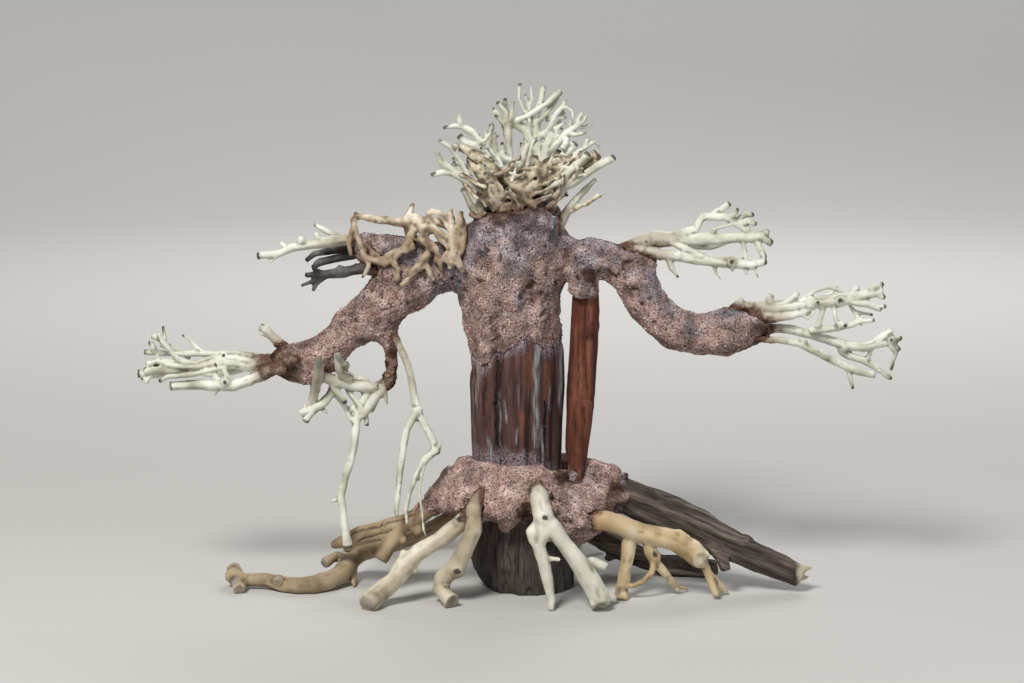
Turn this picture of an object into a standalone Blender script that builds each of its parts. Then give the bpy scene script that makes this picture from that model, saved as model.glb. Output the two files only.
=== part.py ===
# An aquarium bonsai driftwood tree. A short weathered log carries two crusts of sawdust and glue:
# the upper one is drawn out into arms that hold bleached twigs, the lower one holds gnarled roots.
# The origin is at the foot of the log, -Y is the front and Z is up. Lengths are in millimetres
# and become metres where a mesh is made.

import math

import bmesh
import bpy
from mathutils import Matrix, Vector, noise

MM = 0.001

# Driving dimensions
LOG_TOP = 170.0
LOG_SIDES = 44
GAP = 0.4
LOG_GAP = 0.6
CRUST_GRAIN = 4.0
CRUST_LUMP = 1.3
CRUST_LUMP_SIZE = 11.0
CRUST_FACES_KEPT = 0.2
WOOD_FACES_KEPT = 0.68
THINNING_STEP = 0.03
FEW_FACES = 150
THICK_WOOD = 4.1
FLOOR_SLAB = (520.0, 320.0, 24.0)

# Every route is set out as the tree is seen from the front: across and up from the foot of the log,
# at the log's distance. The eye stands before the tree and looks a little down on it.
EYE_DISTANCE = 1100.0
EYE_TILT = math.radians(10)
EYE_AIM = Vector((-3.0, 0.0, 126.0))
MIDDLE_OF_VIEW = (-3.0, 121.75)

# The log's profile: height, drift to the right, half width
LOG_PROFILE = [
    (0, 6.5, 22.5),
    (7, 4.0, 24.5),
    (15, 1.5, 25.5),
    (30, 0.0, 23.4),
    (50, -0.3, 22.6),
    (68, -0.3, 22.5),
    (86, -0.4, 23.1),
    (104, -0.1, 23.7),
    (122, 0.0, 22.8),
    (140, -1.5, 21.0),
    (LOG_TOP, -4.0, 18.0),
]
# The clefts between the log's planks: degrees from the front, depth as a share of the radius, width in degrees
LOG_CLEFTS = [
    (-150, 0.09, 8),
    (-112, 0.12, 7),
    (-66, 0.07, 6),
    (-27, 0.17, 7),
    (-4, 0.07, 5),
    (19, 0.11, 5),
    (57, 0.08, 6),
    (94, 0.12, 7),
    (133, 0.08, 6),
    (172, 0.14, 8),
]

FINISHES = {
    "bleached": ((0.62, 0.60, 0.50), 0.75),
    "grey": ((0.13, 0.12, 0.12), 0.85),
    "tan": ((0.42, 0.31, 0.18), 0.80),
    "root_tan": ((0.38, 0.30, 0.19), 0.80),
    "root_yellow": ((0.55, 0.40, 0.20), 0.70),
    "dark_bark": ((0.09, 0.075, 0.065), 0.90),
    "red_wood": ((0.16, 0.055, 0.03), 0.85),
    "log_wood": ((0.085, 0.048, 0.04), 0.85),
    "crust": ((0.26, 0.18, 0.165), 0.95),
}


def clear_scene():
    for thing in list(bpy.data.objects):
        bpy.data.objects.remove(thing, do_unlink=True)


def new_collection(name, hidden=False):
    group = bpy.data.collections.new(name)
    bpy.context.scene.collection.children.link(group)
    group.hide_render = hidden
    return group


def make_finish(name):
    colour, roughness = FINISHES[name]
    finish = bpy.data.materials.new(name)
    finish.use_nodes = True
    shader = finish.node_tree.nodes["Principled BSDF"]
    shader.inputs["Base Color"].default_value = (*colour, 1)
    shader.inputs["Roughness"].default_value = roughness
    shader.inputs["Metallic"].default_value = 0
    finish.diffuse_color = (*colour, 1)
    return finish


def seen(across, up, depth):
    """The place that is seen at (across, up) and lies depth behind the log's axis."""
    rise = up - MIDDLE_OF_VIEW[1]
    level = EYE_DISTANCE * math.cos(EYE_TILT)
    drop = EYE_DISTANCE * math.sin(EYE_TILT)
    reach = (level + depth) / (level + rise * math.sin(EYE_TILT))
    x = EYE_AIM.x + reach * (across - MIDDLE_OF_VIEW[0])
    z = EYE_AIM.z + drop + reach * (rise * math.cos(EYE_TILT) - drop)
    return Vector((x, depth, z))


def lying(across, up, height):
    """The place that is seen at (across, up) and lies at this height over the floor."""
    rise = up - MIDDLE_OF_VIEW[1]
    level = EYE_DISTANCE * math.cos(EYE_TILT)
    drop = EYE_DISTANCE * math.sin(EYE_TILT)
    reach = (EYE_AIM.z + drop - height) / (drop - rise * math.cos(EYE_TILT))
    return seen(across, up, reach * (level + rise * math.sin(EYE_TILT)) - level)


def plain(x, z, y):
    """A place given by its own coordinates, for what is out of the front view."""
    return Vector((x, y, z))


def link(thing, group):
    group.objects.link(thing)
    return thing


def baked(thing, group):
    """The evaluated mesh of an object as a new plain object, welded, in place of the old one."""
    graph = bpy.context.evaluated_depsgraph_get()
    mesh = bpy.data.meshes.new_from_object(thing.evaluated_get(graph))
    work = bmesh.new()
    work.from_mesh(mesh)
    bmesh.ops.remove_doubles(work, verts=work.verts, dist=0.002 * MM)
    work.to_mesh(mesh)
    work.free()
    result = bpy.data.objects.new(thing.name + "_mesh", mesh)
    result.matrix_world = thing.matrix_world
    bpy.data.objects.remove(thing, do_unlink=True)
    return link(result, group)


def tube(route, place, grow, group):
    """A tapered stick along a route of (across, up, third, radius)."""
    spots = [place(*spot[:3]) for spot in route]
    if grow:
        spots[0] = spots[0] + (spots[0] - spots[1]).normalized() * grow
        spots[-1] = spots[-1] + (spots[-1] - spots[-2]).normalized() * grow
    data = bpy.data.curves.new("stick", "CURVE")
    data.dimensions = "3D"
    data.bevel_depth = MM
    data.bevel_resolution = 2 if max(spot[3] for spot in route) > THICK_WOOD else 1
    data.use_fill_caps = True
    line = data.splines.new("POLY")
    line.points.add(len(spots) - 1)
    for point, spot, (*_, radius) in zip(line.points, spots, route):
        point.co = (*(spot * MM), 1)
        point.radius = radius + grow
    return baked(link(bpy.data.objects.new("stick", data), group), group)


def knot(spot, place, grow, group):
    """A round knot at a spot of (across, up, third, radius)."""
    work = bmesh.new()
    bmesh.ops.create_icosphere(work, subdivisions=1, radius=(spot[3] + grow) * MM)
    bmesh.ops.transform(work, matrix=Matrix.Translation(place(*spot[:3]) * MM), verts=work.verts)
    mesh = bpy.data.meshes.new("knot")
    work.to_mesh(mesh)
    work.free()
    return link(bpy.data.objects.new("knot", mesh), group)


def boolean(target, cutters, operation, group):
    """Joins or cuts the target with a collection of meshes, and applies it."""
    change = target.modifiers.new(operation.lower(), "BOOLEAN")
    change.operation = operation
    change.operand_type = "COLLECTION"
    change.collection = cutters
    change.solver = "EXACT"
    change.use_self = operation == "UNION"
    return baked(target, group)


def empty_out(group):
    for thing in list(group.objects):
        bpy.data.objects.remove(thing, do_unlink=True)
    bpy.data.collections.remove(group)


def keep_largest(thing):
    """Drops the loose scraps that a cut leaves."""
    work = bmesh.new()
    work.from_mesh(thing.data)
    left = set(work.verts)
    bodies = []
    while left:
        body = {left.pop()}
        front = list(body)
        while front:
            for edge in front.pop().link_edges:
                for vert in edge.verts:
                    if vert not in body:
                        body.add(vert)
                        front.append(vert)
        left -= body
        bodies.append(body)
    bodies.sort(key=len)
    scraps = [vert for body in bodies[:-1] for vert in body]
    bmesh.ops.delete(work, geom=scraps, context="VERTS")
    work.to_mesh(thing.data)
    work.free()


def is_closed(thing):
    work = bmesh.new()
    work.from_mesh(thing.data)
    closed = all(edge.is_manifold for edge in work.edges)
    work.free()
    return closed


def thinned(thing, share, group):
    """The body with this share of its faces, or with more where it would tear. A plain one stays whole."""
    while share < 1 and len(thing.data.polygons) > FEW_FACES:
        trial = bpy.data.objects.new("trial", thing.data.copy())
        thin = link(trial, group).modifiers.new("thin", "DECIMATE")
        thin.ratio = share
        trial = baked(trial, group)
        keep_largest(trial)
        if is_closed(trial):
            bpy.data.objects.remove(thing, do_unlink=True)
            return trial
        bpy.data.objects.remove(trial, do_unlink=True)
        share += THINNING_STEP
    return thing


def fused(name, routes, knots, place, grow, group):
    """Sticks and knots joined into one body."""
    others = new_collection(name + "_others", hidden=True)
    pieces = [tube(route, place, grow, others) for route in routes]
    pieces += [knot(spot, place, grow, others) for spot in knots]
    first = pieces[0]
    others.objects.unlink(first)
    link(first, group)
    if len(pieces) > 1:
        first = boolean(first, others, "UNION", group)
    empty_out(others)
    return first


class Tree:
    """Gathers the finished nodes, and the larger copies that make their sockets."""

    def __init__(self):
        self.parts = new_collection("bonsai_driftwood_tree")
        self.sockets = new_collection("sockets", hidden=True)
        self.finishes = {name: make_finish(name) for name in FINISHES}

    def keep(self, thing, name, finish):
        thing.name = name
        thing.data.name = name
        thing.data.materials.clear()
        thing.data.materials.append(self.finishes[finish])
        thing.data.shade_smooth()
        thing.data.set_sharp_from_angle(angle=math.radians(40))
        return thing

    def socket(self, thing, name):
        thing.name = "socket_" + name
        thing.hide_render = True
        thing.display_type = "WIRE"

    def cut(self, thing, *names):
        """Cuts the room that other pieces need out of this one."""
        for name in names:
            cutter = new_collection("cutter", hidden=True)
            link(bpy.data.objects["socket_" + name], cutter)
            thing = boolean(thing, cutter, "DIFFERENCE", self.parts)
            bpy.data.collections.remove(cutter)
        keep_largest(thing)
        return thing

    def wood(self, name, finish, routes, knots=(), place=seen, beside=()):
        """One piece or spray of wood, shaped to what it stands beside."""
        piece = thinned(fused(name, routes, knots, place, 0, self.parts), WOOD_FACES_KEPT, self.parts)
        if beside:
            piece = self.cut(piece, *beside)
        self.keep(piece, name, finish)
        self.socket(fused(name + "_room", routes, knots, place, GAP, self.sockets), name)


# The log

def log_radius(angle, height):
    """The log's outline at an angle from the front: planks with clefts between them."""
    share = 1 - 0.03 * math.sin(2 * angle + 0.6)
    for degrees, depth, width in LOG_CLEFTS:
        wander = 0.05 * math.sin(height / 19 + degrees)
        away = (angle - math.radians(degrees) - wander + math.pi) % (2 * math.pi) - math.pi
        share -= depth * math.exp(-((away / math.radians(width)) ** 2))
    return share


def log_body(name, grow, group):
    work = bmesh.new()
    top = LOG_TOP + grow
    bmesh.ops.create_cone(
        work, cap_ends=True, segments=LOG_SIDES, radius1=1, radius2=1, depth=top,
        matrix=Matrix.Translation((0, 0, top / 2)),
    )
    for height, _, _ in LOG_PROFILE[1:-1]:
        every = work.verts[:] + work.edges[:] + work.faces[:]
        bmesh.ops.bisect_plane(work, geom=every, plane_co=(0, 0, height), plane_no=(0, 0, 1))
    for vert in work.verts:
        height = vert.co.z
        angle = math.atan2(vert.co.x, -vert.co.y)
        nearest = min(LOG_PROFILE, key=lambda row: abs(row[0] - height))
        radius = nearest[2] * log_radius(angle, height) + grow
        vert.co.x = nearest[1] + radius * math.sin(angle)
        vert.co.y = -0.94 * radius * math.cos(angle)
    if grow:
        for vert in work.verts:
            if vert.co.z < 1:
                vert.co.z -= grow
    bmesh.ops.scale(work, vec=(MM, MM, MM), verts=work.verts)
    bmesh.ops.triangulate(work, faces=work.faces, quad_method="FIXED", ngon_method="BEAUTY")
    mesh = bpy.data.meshes.new(name)
    work.to_mesh(mesh)
    work.free()
    return link(bpy.data.objects.new(name, mesh), group)


def trunk_log(tree):
    tree.keep(log_body("trunk_log", 0, tree.parts), "trunk_log", "log_wood")
    tree.socket(log_body("log_room", LOG_GAP, tree.sockets), "trunk_log")


def side_strut(tree):
    tree.wood("side_strut", "red_wood", [[
        (34.8, 162.0, -5, 5.0), (34.0, 150.0, -5, 6.4), (33.8, 137.5, -5, 7.1), (32.8, 117.5, -5, 7.2),
        (31.4, 97.5, -6, 7.4), (30.2, 77.5, -9, 6.5), (29.4, 62.0, -14, 4.9), (28.2, 51.0, -19, 2.8),
    ]], knots=[(34.6, 128.0, -7, 7.1), (30.8, 106.0, -7, 7.1)], beside=["trunk_log"])


# Twigs that stand in the top of the upper crust

def crown_left(tree):
    tree.wood("crown_left_twigs", "bleached", [
        [(-19.0, 176, -6, 2.6), (-19.0, 190, -6, 2.4), (-18.5, 197, -7, 2.1), (-26, 202.5, -9, 2.2),
         (-33, 206.5, -10, 2.3), (-37, 206.7, -11, 1.8), (-43.5, 204.8, -12, 1.2)],
        [(-33, 207, -10, 2.3), (-38.5, 211.5, -11, 1.9), (-41, 217.5, -12, 1.5)],
        [(-19.5, 182, -6, 2.2), (-23.5, 190, -8, 1.9), (-28, 198.5, -10, 1.6)],
        [(-24.5, 201.5, -9, 1.5), (-25, 204, -10, 1.4), (-28.5, 211.5, -11, 1.4), (-31.5, 215, -11, 1.2),
         (-34, 219, -12, 1.2), (-40, 222.5, -13, 1.1)],
        [(-19.0, 195, -7, 1.6), (-21, 197.5, -9, 1.4), (-15.5, 189, -10, 1.2)],
    ], knots=[(-31, 219.5, -11, 1.9)])


def crown_tall(tree):
    stems = [
        [(-7, 176, -1, 3.0), (-9, 190, -1, 2.6), (-7.5, 201, -1, 2.2), (-5, 210, 0, 2.3), (-4.5, 217, 0, 2.2),
         (-5, 229.5, 1, 2.1), (-5.5, 236, 1, 2.0), (-10.5, 241.5, 0, 1.3)],
        [(3, 176, 2, 3.0), (6, 189.5, 2, 2.8), (3.5, 201, 2, 2.8), (5, 211, 2, 2.9), (7, 220.5, 3, 3.2),
         (4.5, 227.5, 3, 2.9), (-2, 231, 2, 2.5)],
        [(9, 176, 0, 3.2), (10, 190, 0, 3.0), (11.5, 205, 1, 2.5), (9.5, 219.5, 2, 2.6), (9.5, 226, 2, 2.3),
         (9, 234.5, 3, 2.0), (11.5, 242, 3, 1.8), (12.5, 250, 4, 1.6)],
        [(16, 178, 6, 2.6), (14.5, 190, 5, 2.4), (15, 205, 3, 2.4), (13.5, 215, 1, 2.4), (18.5, 219.5, -1, 2.3),
         (24.5, 226, -3, 2.1), (29.5, 229.5, -4, 2.0), (32, 236.5, -5, 1.0)],
        [(-13, 178, 5, 2.6), (-12, 190, 5, 2.2), (-3, 201, 5, 1.8), (9, 207, 5, 1.7), (16, 211, 4, 1.7),
         (21, 217.5, 3, 1.4)],
    ]
    upper = [
        [(-6, 234.5, 1, 1.6), (-6.5, 243.5, 2, 1.1)],
        [(-5, 231, 1, 1.5), (-3, 233.5, -1, 1.3), (-2.5, 242.5, -1, 1.0)],
        [(-5, 228, 1, 1.4), (-8, 231, 0, 1.1), (-11.5, 235, -1, 0.9)],
        [(-4.5, 230, 1, 1.6), (4.5, 234.5, 0, 1.5), (14.5, 240.5, -1, 1.6), (21.5, 247, -2, 1.9)],
        [(10, 231, 2, 1.5), (12.5, 233.5, 0, 1.3), (17.5, 240.2, 1, 1.3), (20, 244, 2, 1.1)],
        [(8.5, 232, 2, 1.4), (6.5, 234, 3, 1.2), (3, 237, 4, 1.1), (0.5, 243.5, 4, 1.1), (1, 251, 4, 1.0)],
        [(7, 234, 3, 1.3), (5.5, 239, 2, 1.2), (3.5, 245.5, 2, 0.9)],
        [(5.5, 238.5, 2, 1.2), (7, 243, 1, 1.1), (6.5, 249.5, 1, 0.9)],
        [(9.5, 223, 2, 1.8), (14.5, 226.5, -1, 1.6), (16.5, 230, -2, 1.5), (18.5, 234.5, -3, 1.5),
         (23, 240, -3, 1.4), (23.5, 243.5, -3, 1.1)],
        [(21.5, 238, -3, 1.1), (24.5, 238.8, -4, 0.9), (27, 237, -5, 0.8), (27.5, 232.5, -6, 0.6)],
        [(29.0, 229, -4, 1.4), (33, 232, -6, 1.1), (34.5, 235, -6, 0.9)],
        [(29, 229, -4, 1.4), (34, 229, -3, 1.1), (37.5, 231, -3, 0.8)],
        [(24.5, 226, -3, 1.5), (29, 225, -6, 1.2), (34.5, 226.5, -7, 0.9)],
        [(18.5, 219.5, -1, 1.4), (19.5, 228.5, -2, 1.1), (24.5, 232, -2, 0.8)],
        [(14, 212, 1, 1.7), (21.5, 212.5, -2, 1.6), (28.5, 215, -4, 1.5), (34, 219, -5, 1.4), (35, 224, -5, 0.9)],
        [(33, 218, -5, 1.2), (38.5, 222, -6, 0.9), (41, 218.5, -6, 0.8), (39.5, 212.5, -6, 0.6)],
        [(5.5, 212, 2, 1.8), (3, 217.5, 0, 1.4), (3.5, 223.5, -1, 1.0)],
        [(-1, 201.5, 4, 1.6), (-3, 199.5, -4, 1.8), (1.5, 201, -5, 1.3), (7.5, 199, -6, 1.3),
         (14.5, 202, -6, 1.2)],
    ]
    heart = [
        [(-6, 190, -6, 2.6), (-2, 202, -6, 2.8), (2.5, 214, -4, 2.3), (5, 221, -3, 1.4)],
        [(-3, 194, -6, 2.2), (-10, 202.5, -6, 2.5), (-15.5, 209.5, -5, 2.2)],
        [(-15, 186, -2, 2.2), (-17, 198, -3, 2.3), (-20, 211, -4, 1.5)],
        [(12, 207, 0, 2.5), (14.5, 220, 0, 2.4), (17.5, 228.5, -1, 1.6)],
        [(11, 203, -3, 2.4), (20, 211.5, -2, 2.5), (29, 221, -3, 2.0)],
        [(2, 192, -8, 2.0), (9, 203, -8, 2.2), (18, 207.5, -7, 2.0), (27, 213, -6, 1.3)],
        [(15, 195, -1, 2.4), (20.5, 204, -1, 2.4), (29, 209, -2, 2.5), (37, 214.5, -4, 1.6)],
    ]
    gnarl = [
        [(-4, 212.5, 0, 3.2), (-9.5, 214, -2, 2.8), (-18.5, 218, -3, 2.6), (-26.5, 221, -4, 2.5),
         (-29.5, 225, -4, 1.8)],
        [(-14, 216, -3, 2.2), (-18, 211, -5, 1.6), (-19, 207.5, -5, 1.0)],
        [(-24, 219.5, -4, 2.2), (-18.5, 221.5, -3, 2.2), (-23, 226.5, -3, 2.0), (-28.5, 229.5, -3, 1.9),
         (-29.5, 235.5, -3, 1.6)],
        [(-27, 229, -3, 1.5), (-32, 229.5, -4, 1.3), (-37.5, 228.5, -5, 1.0)],
        [(-19, 220, -3, 1.4), (-14.5, 224.5, -4, 0.9), (-12.5, 232, -4, 0.7)],
        [(-15.5, 223.5, -4, 0.9), (-17, 227.5, -4, 0.6)],
        [(-11, 214, -2, 1.5), (-11, 218, -4, 1.2), (-12, 224.5, -4, 0.9)],
        [(-7, 213.5, -1, 1.4), (-8, 221.5, -3, 1.0)],
    ]
    tree.wood("crown_tall_twigs", "bleached", stems + upper + heart + gnarl, knots=[
        (-3, 199.5, -4, 4.0), (4.5, 190.5, -1, 3.4), (6.2, 219.8, 3, 3.5),
    ], beside=["crown_left_twigs"])


def crown_right(tree):
    tree.wood("crown_right_twigs", "bleached", [
        [(13, 175, -9, 3.0), (14.5, 183, -9, 2.8), (18, 192.5, -10, 2.5), (23.5, 199, -11, 2.4),
         (30.5, 203, -12, 2.3), (39, 209, -12, 2.1), (48.5, 214, -13, 1.9)],
        [(20, 195, -10, 2.1), (21.5, 202, -12, 2.0), (21.5, 208, -12, 1.8)],
        [(14, 172, -8, 2.6), (20.5, 178.5, -6.5, 2.6), (23.5, 185, -6, 2.5), (27.5, 191, -7, 2.2), (33.5, 197.5, -8, 1.8),
         (39, 203, -9, 1.1)],
        [(24, 199.5, -11, 1.9), (24.5, 205.5, -13, 2.3), (30, 210.5, -14, 2.4), (35.5, 216, -15, 2.0)],
    ], beside=["crown_tall_twigs"])


def crown_back(tree):
    tree.wood("crown_back_twigs", "bleached", [
        [(-6, 178, 14, 3.0), (-7, 196, 15, 2.6), (-12, 208, 18, 2.2), (-15, 222, 19, 1.9), (-13, 233, 21, 1.4)],
        [(-9, 201, 17, 1.9), (-20, 207, 22, 1.6), (-29, 209, 24, 1.3), (-33, 216, 25, 0.9)],
        [(-7, 190, 15, 2.4), (2, 203, 19, 2.2), (9, 214, 22, 1.9), (18, 221, 24, 1.6), (22, 231, 25, 1.0)],
        [(8, 212.5, 22, 1.6), (5, 224, 24, 1.3), (8, 234, 25, 0.9)],
        [(-5, 183, 14, 2.4), (7, 190, 18, 2.2), (18, 197, 21, 1.8), (25, 205, 22, 1.4)],
        [(-14, 221, 19, 1.3), (-20, 228, 21, 0.9)],
    ], place=plain, beside=["crown_tall_twigs", "crown_left_twigs"])


# Twigs and root ends on the left shoulder and the left arm

def left_shoulder(tree):
    tree.wood("left_shoulder_white_twig", "bleached", [
        [(-73, 171.5, -1, 3.4), (-84.5, 173, -2, 3.5), (-102, 170.5, -4, 2.7), (-113, 168.5, -5, 2.3),
         (-119.5, 165.5, -6, 2.1), (-130.5, 164.5, -8, 2.1)],
        [(-115, 167.5, -5, 1.6), (-119, 171.5, -4, 0.9)],
        [(-99, 171, -4, 1.7), (-101.5, 176.5, -4, 1.1)],
        [(-120, 165.3, -6, 1.6), (-124, 161.5, -8, 1.0)],
        [(-86, 172.5, -2, 2.2), (-91, 174.6, 1, 1.8), (-96.5, 177.3, 2, 1.6), (-102, 180.4, 3, 1.1)],
    ], knots=[(-108.5, 172.5, -5, 2.2), (-93, 172, -3, 3.5)])
    tree.wood("left_shoulder_grey_twigs", "grey", [
        [(-72, 165.5, 4, 2.4), (-79, 167.5, 5, 2.3), (-86, 168, 6, 2.1), (-94, 167, 6, 2.0), (-102, 165.5, 6, 1.8),
         (-106, 162, 5, 1.3)],
        [(-77, 166.5, 4, 2.2), (-84, 164.5, 3, 2.3), (-89, 163.5, 2, 2.4), (-99, 161.5, 1, 2.0),
         (-103, 158.5, 0, 1.2)],
        [(-91, 167.5, 6, 1.5), (-97, 171, 9, 1.2), (-104, 171.5, 11, 0.8)],
    ], beside=["left_shoulder_white_twig"])
    tree.wood("left_shoulder_low_twigs", "grey", [
        [(-68, 157, -6, 2.8), (-78.5, 158, -8, 3.0), (-89, 156, -9, 2.8), (-99.5, 155, -9, 2.3),
         (-106.5, 155, -9, 1.3)],
        [(-95, 155.5, -9, 1.8), (-101, 151, -10, 1.6), (-102.5, 147, -10, 1.0)],
        [(-99, 153, -9.5, 1.5), (-105, 151, -11, 1.2), (-108.5, 149.5, -12, 0.8)],
        [(-97, 155.5, -9, 1.5), (-103, 158.5, -11, 0.9)],
    ], knots=[(-89, 157, -9, 3.3)], beside=["left_shoulder_white_twig", "left_shoulder_grey_twigs"])


def tan_root_tangle(tree):
    tree.wood("tan_root_tangle", "tan", [
        [(-54, 181.5, -8, 3.3), (-57, 181, -8, 2.4), (-62, 181.8, -8, 2.3), (-74.5, 183.3, -9, 1.9),
         (-82, 185.3, -9, 1.5)],
        [(-53, 172, -5, 3.2), (-54, 181.5, -8, 3.4), (-54.5, 185.5, -8, 2.2), (-52.5, 191, -7, 1.1)],
        [(-53, 182, -8, 2.4), (-47.5, 182.5, -9, 2.4), (-40.5, 182, -9, 1.9), (-34, 178, -10, 1.7),
         (-31, 175, -12, 1.8)],
        [(-80, 184, -9, 1.6), (-82.5, 181, -10, 1.6), (-81, 176.5, -11, 1.7), (-78.5, 170, -12, 1.8),
         (-76.5, 164, -13, 1.9), (-70, 162.5, -14, 2.0), (-66.5, 161.5, -13, 2.3)],
        [(-82.5, 179.5, -10, 1.4), (-84.5, 172, -11, 1.3), (-83.5, 164.5, -12, 1.0)],
        [(-75.5, 163.5, -13, 1.5), (-74.5, 159.5, -14, 1.2), (-78, 153.5, -15, 0.9)],
        [(-67, 161.5, -13, 1.9), (-62.5, 162.5, -14, 1.8), (-60.5, 158, -15, 1.8), (-61, 152.0, -16, 1.4)],
        [(-62.8, 162.5, -14, 1.6), (-59.5, 166, -14, 1.6), (-55.5, 168.5, -13, 1.6), (-53, 174, -12, 1.5),
         (-50.5, 180.5, -10, 1.6)],
        [(-47, 181.5, -9, 2.2), (-46.5, 176, -12, 2.2), (-45, 168.5, -14, 1.7), (-46.5, 160.5, -15, 1.6),
         (-54, 154, -16, 1.4), (-58.5, 149.5, -17, 1.1)],
        [(-46.4, 161, -15, 1.5), (-42, 152, -16, 1.2)],
        [(-43, 181, -10, 1.5), (-42, 176.5, -13, 1.4), (-34.5, 168.5, -16, 1.4), (-29.5, 162.5, -18, 1.3)],
        [(-28.5, 187, -13, 1.4), (-29.0, 182, -14, 1.9), (-30.5, 175, -15, 2.0), (-31.5, 167, -17, 2.0),
         (-28.5, 158, -20, 1.6)],
        [(-44, 188.5, -9, 0.8), (-38.5, 183.5, -12, 1.0), (-34.5, 178.5, -14, 1.0), (-30.5, 174, -15, 1.1)],
    ], knots=[
        (-32.5, 163.5, -17.5, 4.6), (-47.0, 178.5, -11, 4.0), (-66.5, 161.5, -13, 2.9), (-82, 182.5, -9.5, 2.2),
    ], beside=["left_shoulder_white_twig", "left_shoulder_grey_twigs", "left_shoulder_low_twigs",
               "crown_left_twigs"])


def left_arm(tree):
    sticks = [
        [(-114, 111.5, -4, 3.6), (-126.5, 111.5, -5, 3.8), (-134, 110, -6, 3.9), (-141.5, 111.5, -6, 4.0),
         (-152.5, 112.5, -6, 3.2)],
        [(-127, 113.5, -4, 2.0), (-139, 115.5, -2, 1.8), (-156.5, 115.7, 0, 1.7), (-174, 115.7, 2, 1.7),
         (-187, 116.5, 3, 1.5)],
        [(-157, 115.7, 0, 1.3), (-161.5, 119.5, 2, 1.1), (-164.5, 123, 3, 1.0), (-168, 125, 4, 0.8)],
        [(-152.5, 112.8, -6, 2.6), (-161.5, 110.5, -5, 1.6), (-168.5, 112, -4, 1.4), (-172, 114.7, -5, 1.4),
         (-175, 118.5, -6, 1.3), (-177.5, 121.5, -7, 1.3), (-179.5, 126, -7, 1.2)],
        [(-181, 116.2, 2.5, 1.5), (-182.2, 118.8, 1, 1.6), (-184, 122, 1, 1.5)],
        [(-147, 112.3, -7, 2.8), (-154, 111, -9, 1.7), (-160.5, 109, -9, 1.5), (-167, 109, -9, 1.4),
         (-175, 110.5, -8, 1.4), (-180.5, 112, -8, 1.4), (-186, 110.2, -8, 1.3)],
        [(-150, 111.0, -6, 2.8), (-156.5, 109, -4, 2.0), (-164, 107.8, -4, 2.0), (-172, 106.8, -4, 2.1),
         (-180, 105.5, -5, 2.3), (-190, 105.7, -5, 2.4)],
        [(-144, 110.5, -6, 2.8), (-150, 108.5, -9, 1.8), (-156, 107.0, -11, 1.5), (-161.5, 105.5, -12, 1.4),
         (-168, 104.7, -13, 1.4), (-175, 104.2, -13, 1.3), (-179.5, 101.7, -13, 1.2)],
        [(-118, 109.5, -6, 2.6), (-126, 106, -8, 3.0), (-134, 102.3, -9, 3.1), (-142.5, 99.7, -10, 3.2),
         (-150.5, 100, -10, 3.2), (-161.5, 100, -10, 2.8), (-174, 99.5, -10, 2.5)],
        [(-149, 99.0, -10, 1.6), (-152, 94.5, -11, 0.6)],
        [(-147.5, 110, -7, 1.9), (-146.5, 106, -9, 1.5), (-143, 101.5, -10, 1.6)],
        [(-128, 111, -3, 2.4), (-138, 108, 3, 2.0), (-150, 105, 7, 1.7), (-163, 106, 10, 1.4), (-171, 109, 13, 0.9)],
    ]
    tree.wood("left_arm_spray", "bleached", sticks, knots=[
        (-147.5, 115.2, -5, 2.3), (-151, 109.5, -7, 2.2), (-146.5, 101.2, -11, 2.6),
    ])
    tree.wood("left_arm_stub", "bleached", [
        [(-112, 115, -3, 2.8), (-119.5, 121, -3, 2.8), (-125, 126.5, -3, 2.6), (-129, 129.5, -3, 2.0)],
        [(-123, 124.5, -3, 1.8), (-129.5, 126, -4, 0.9)],
    ], beside=["left_arm_spray"])


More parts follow.
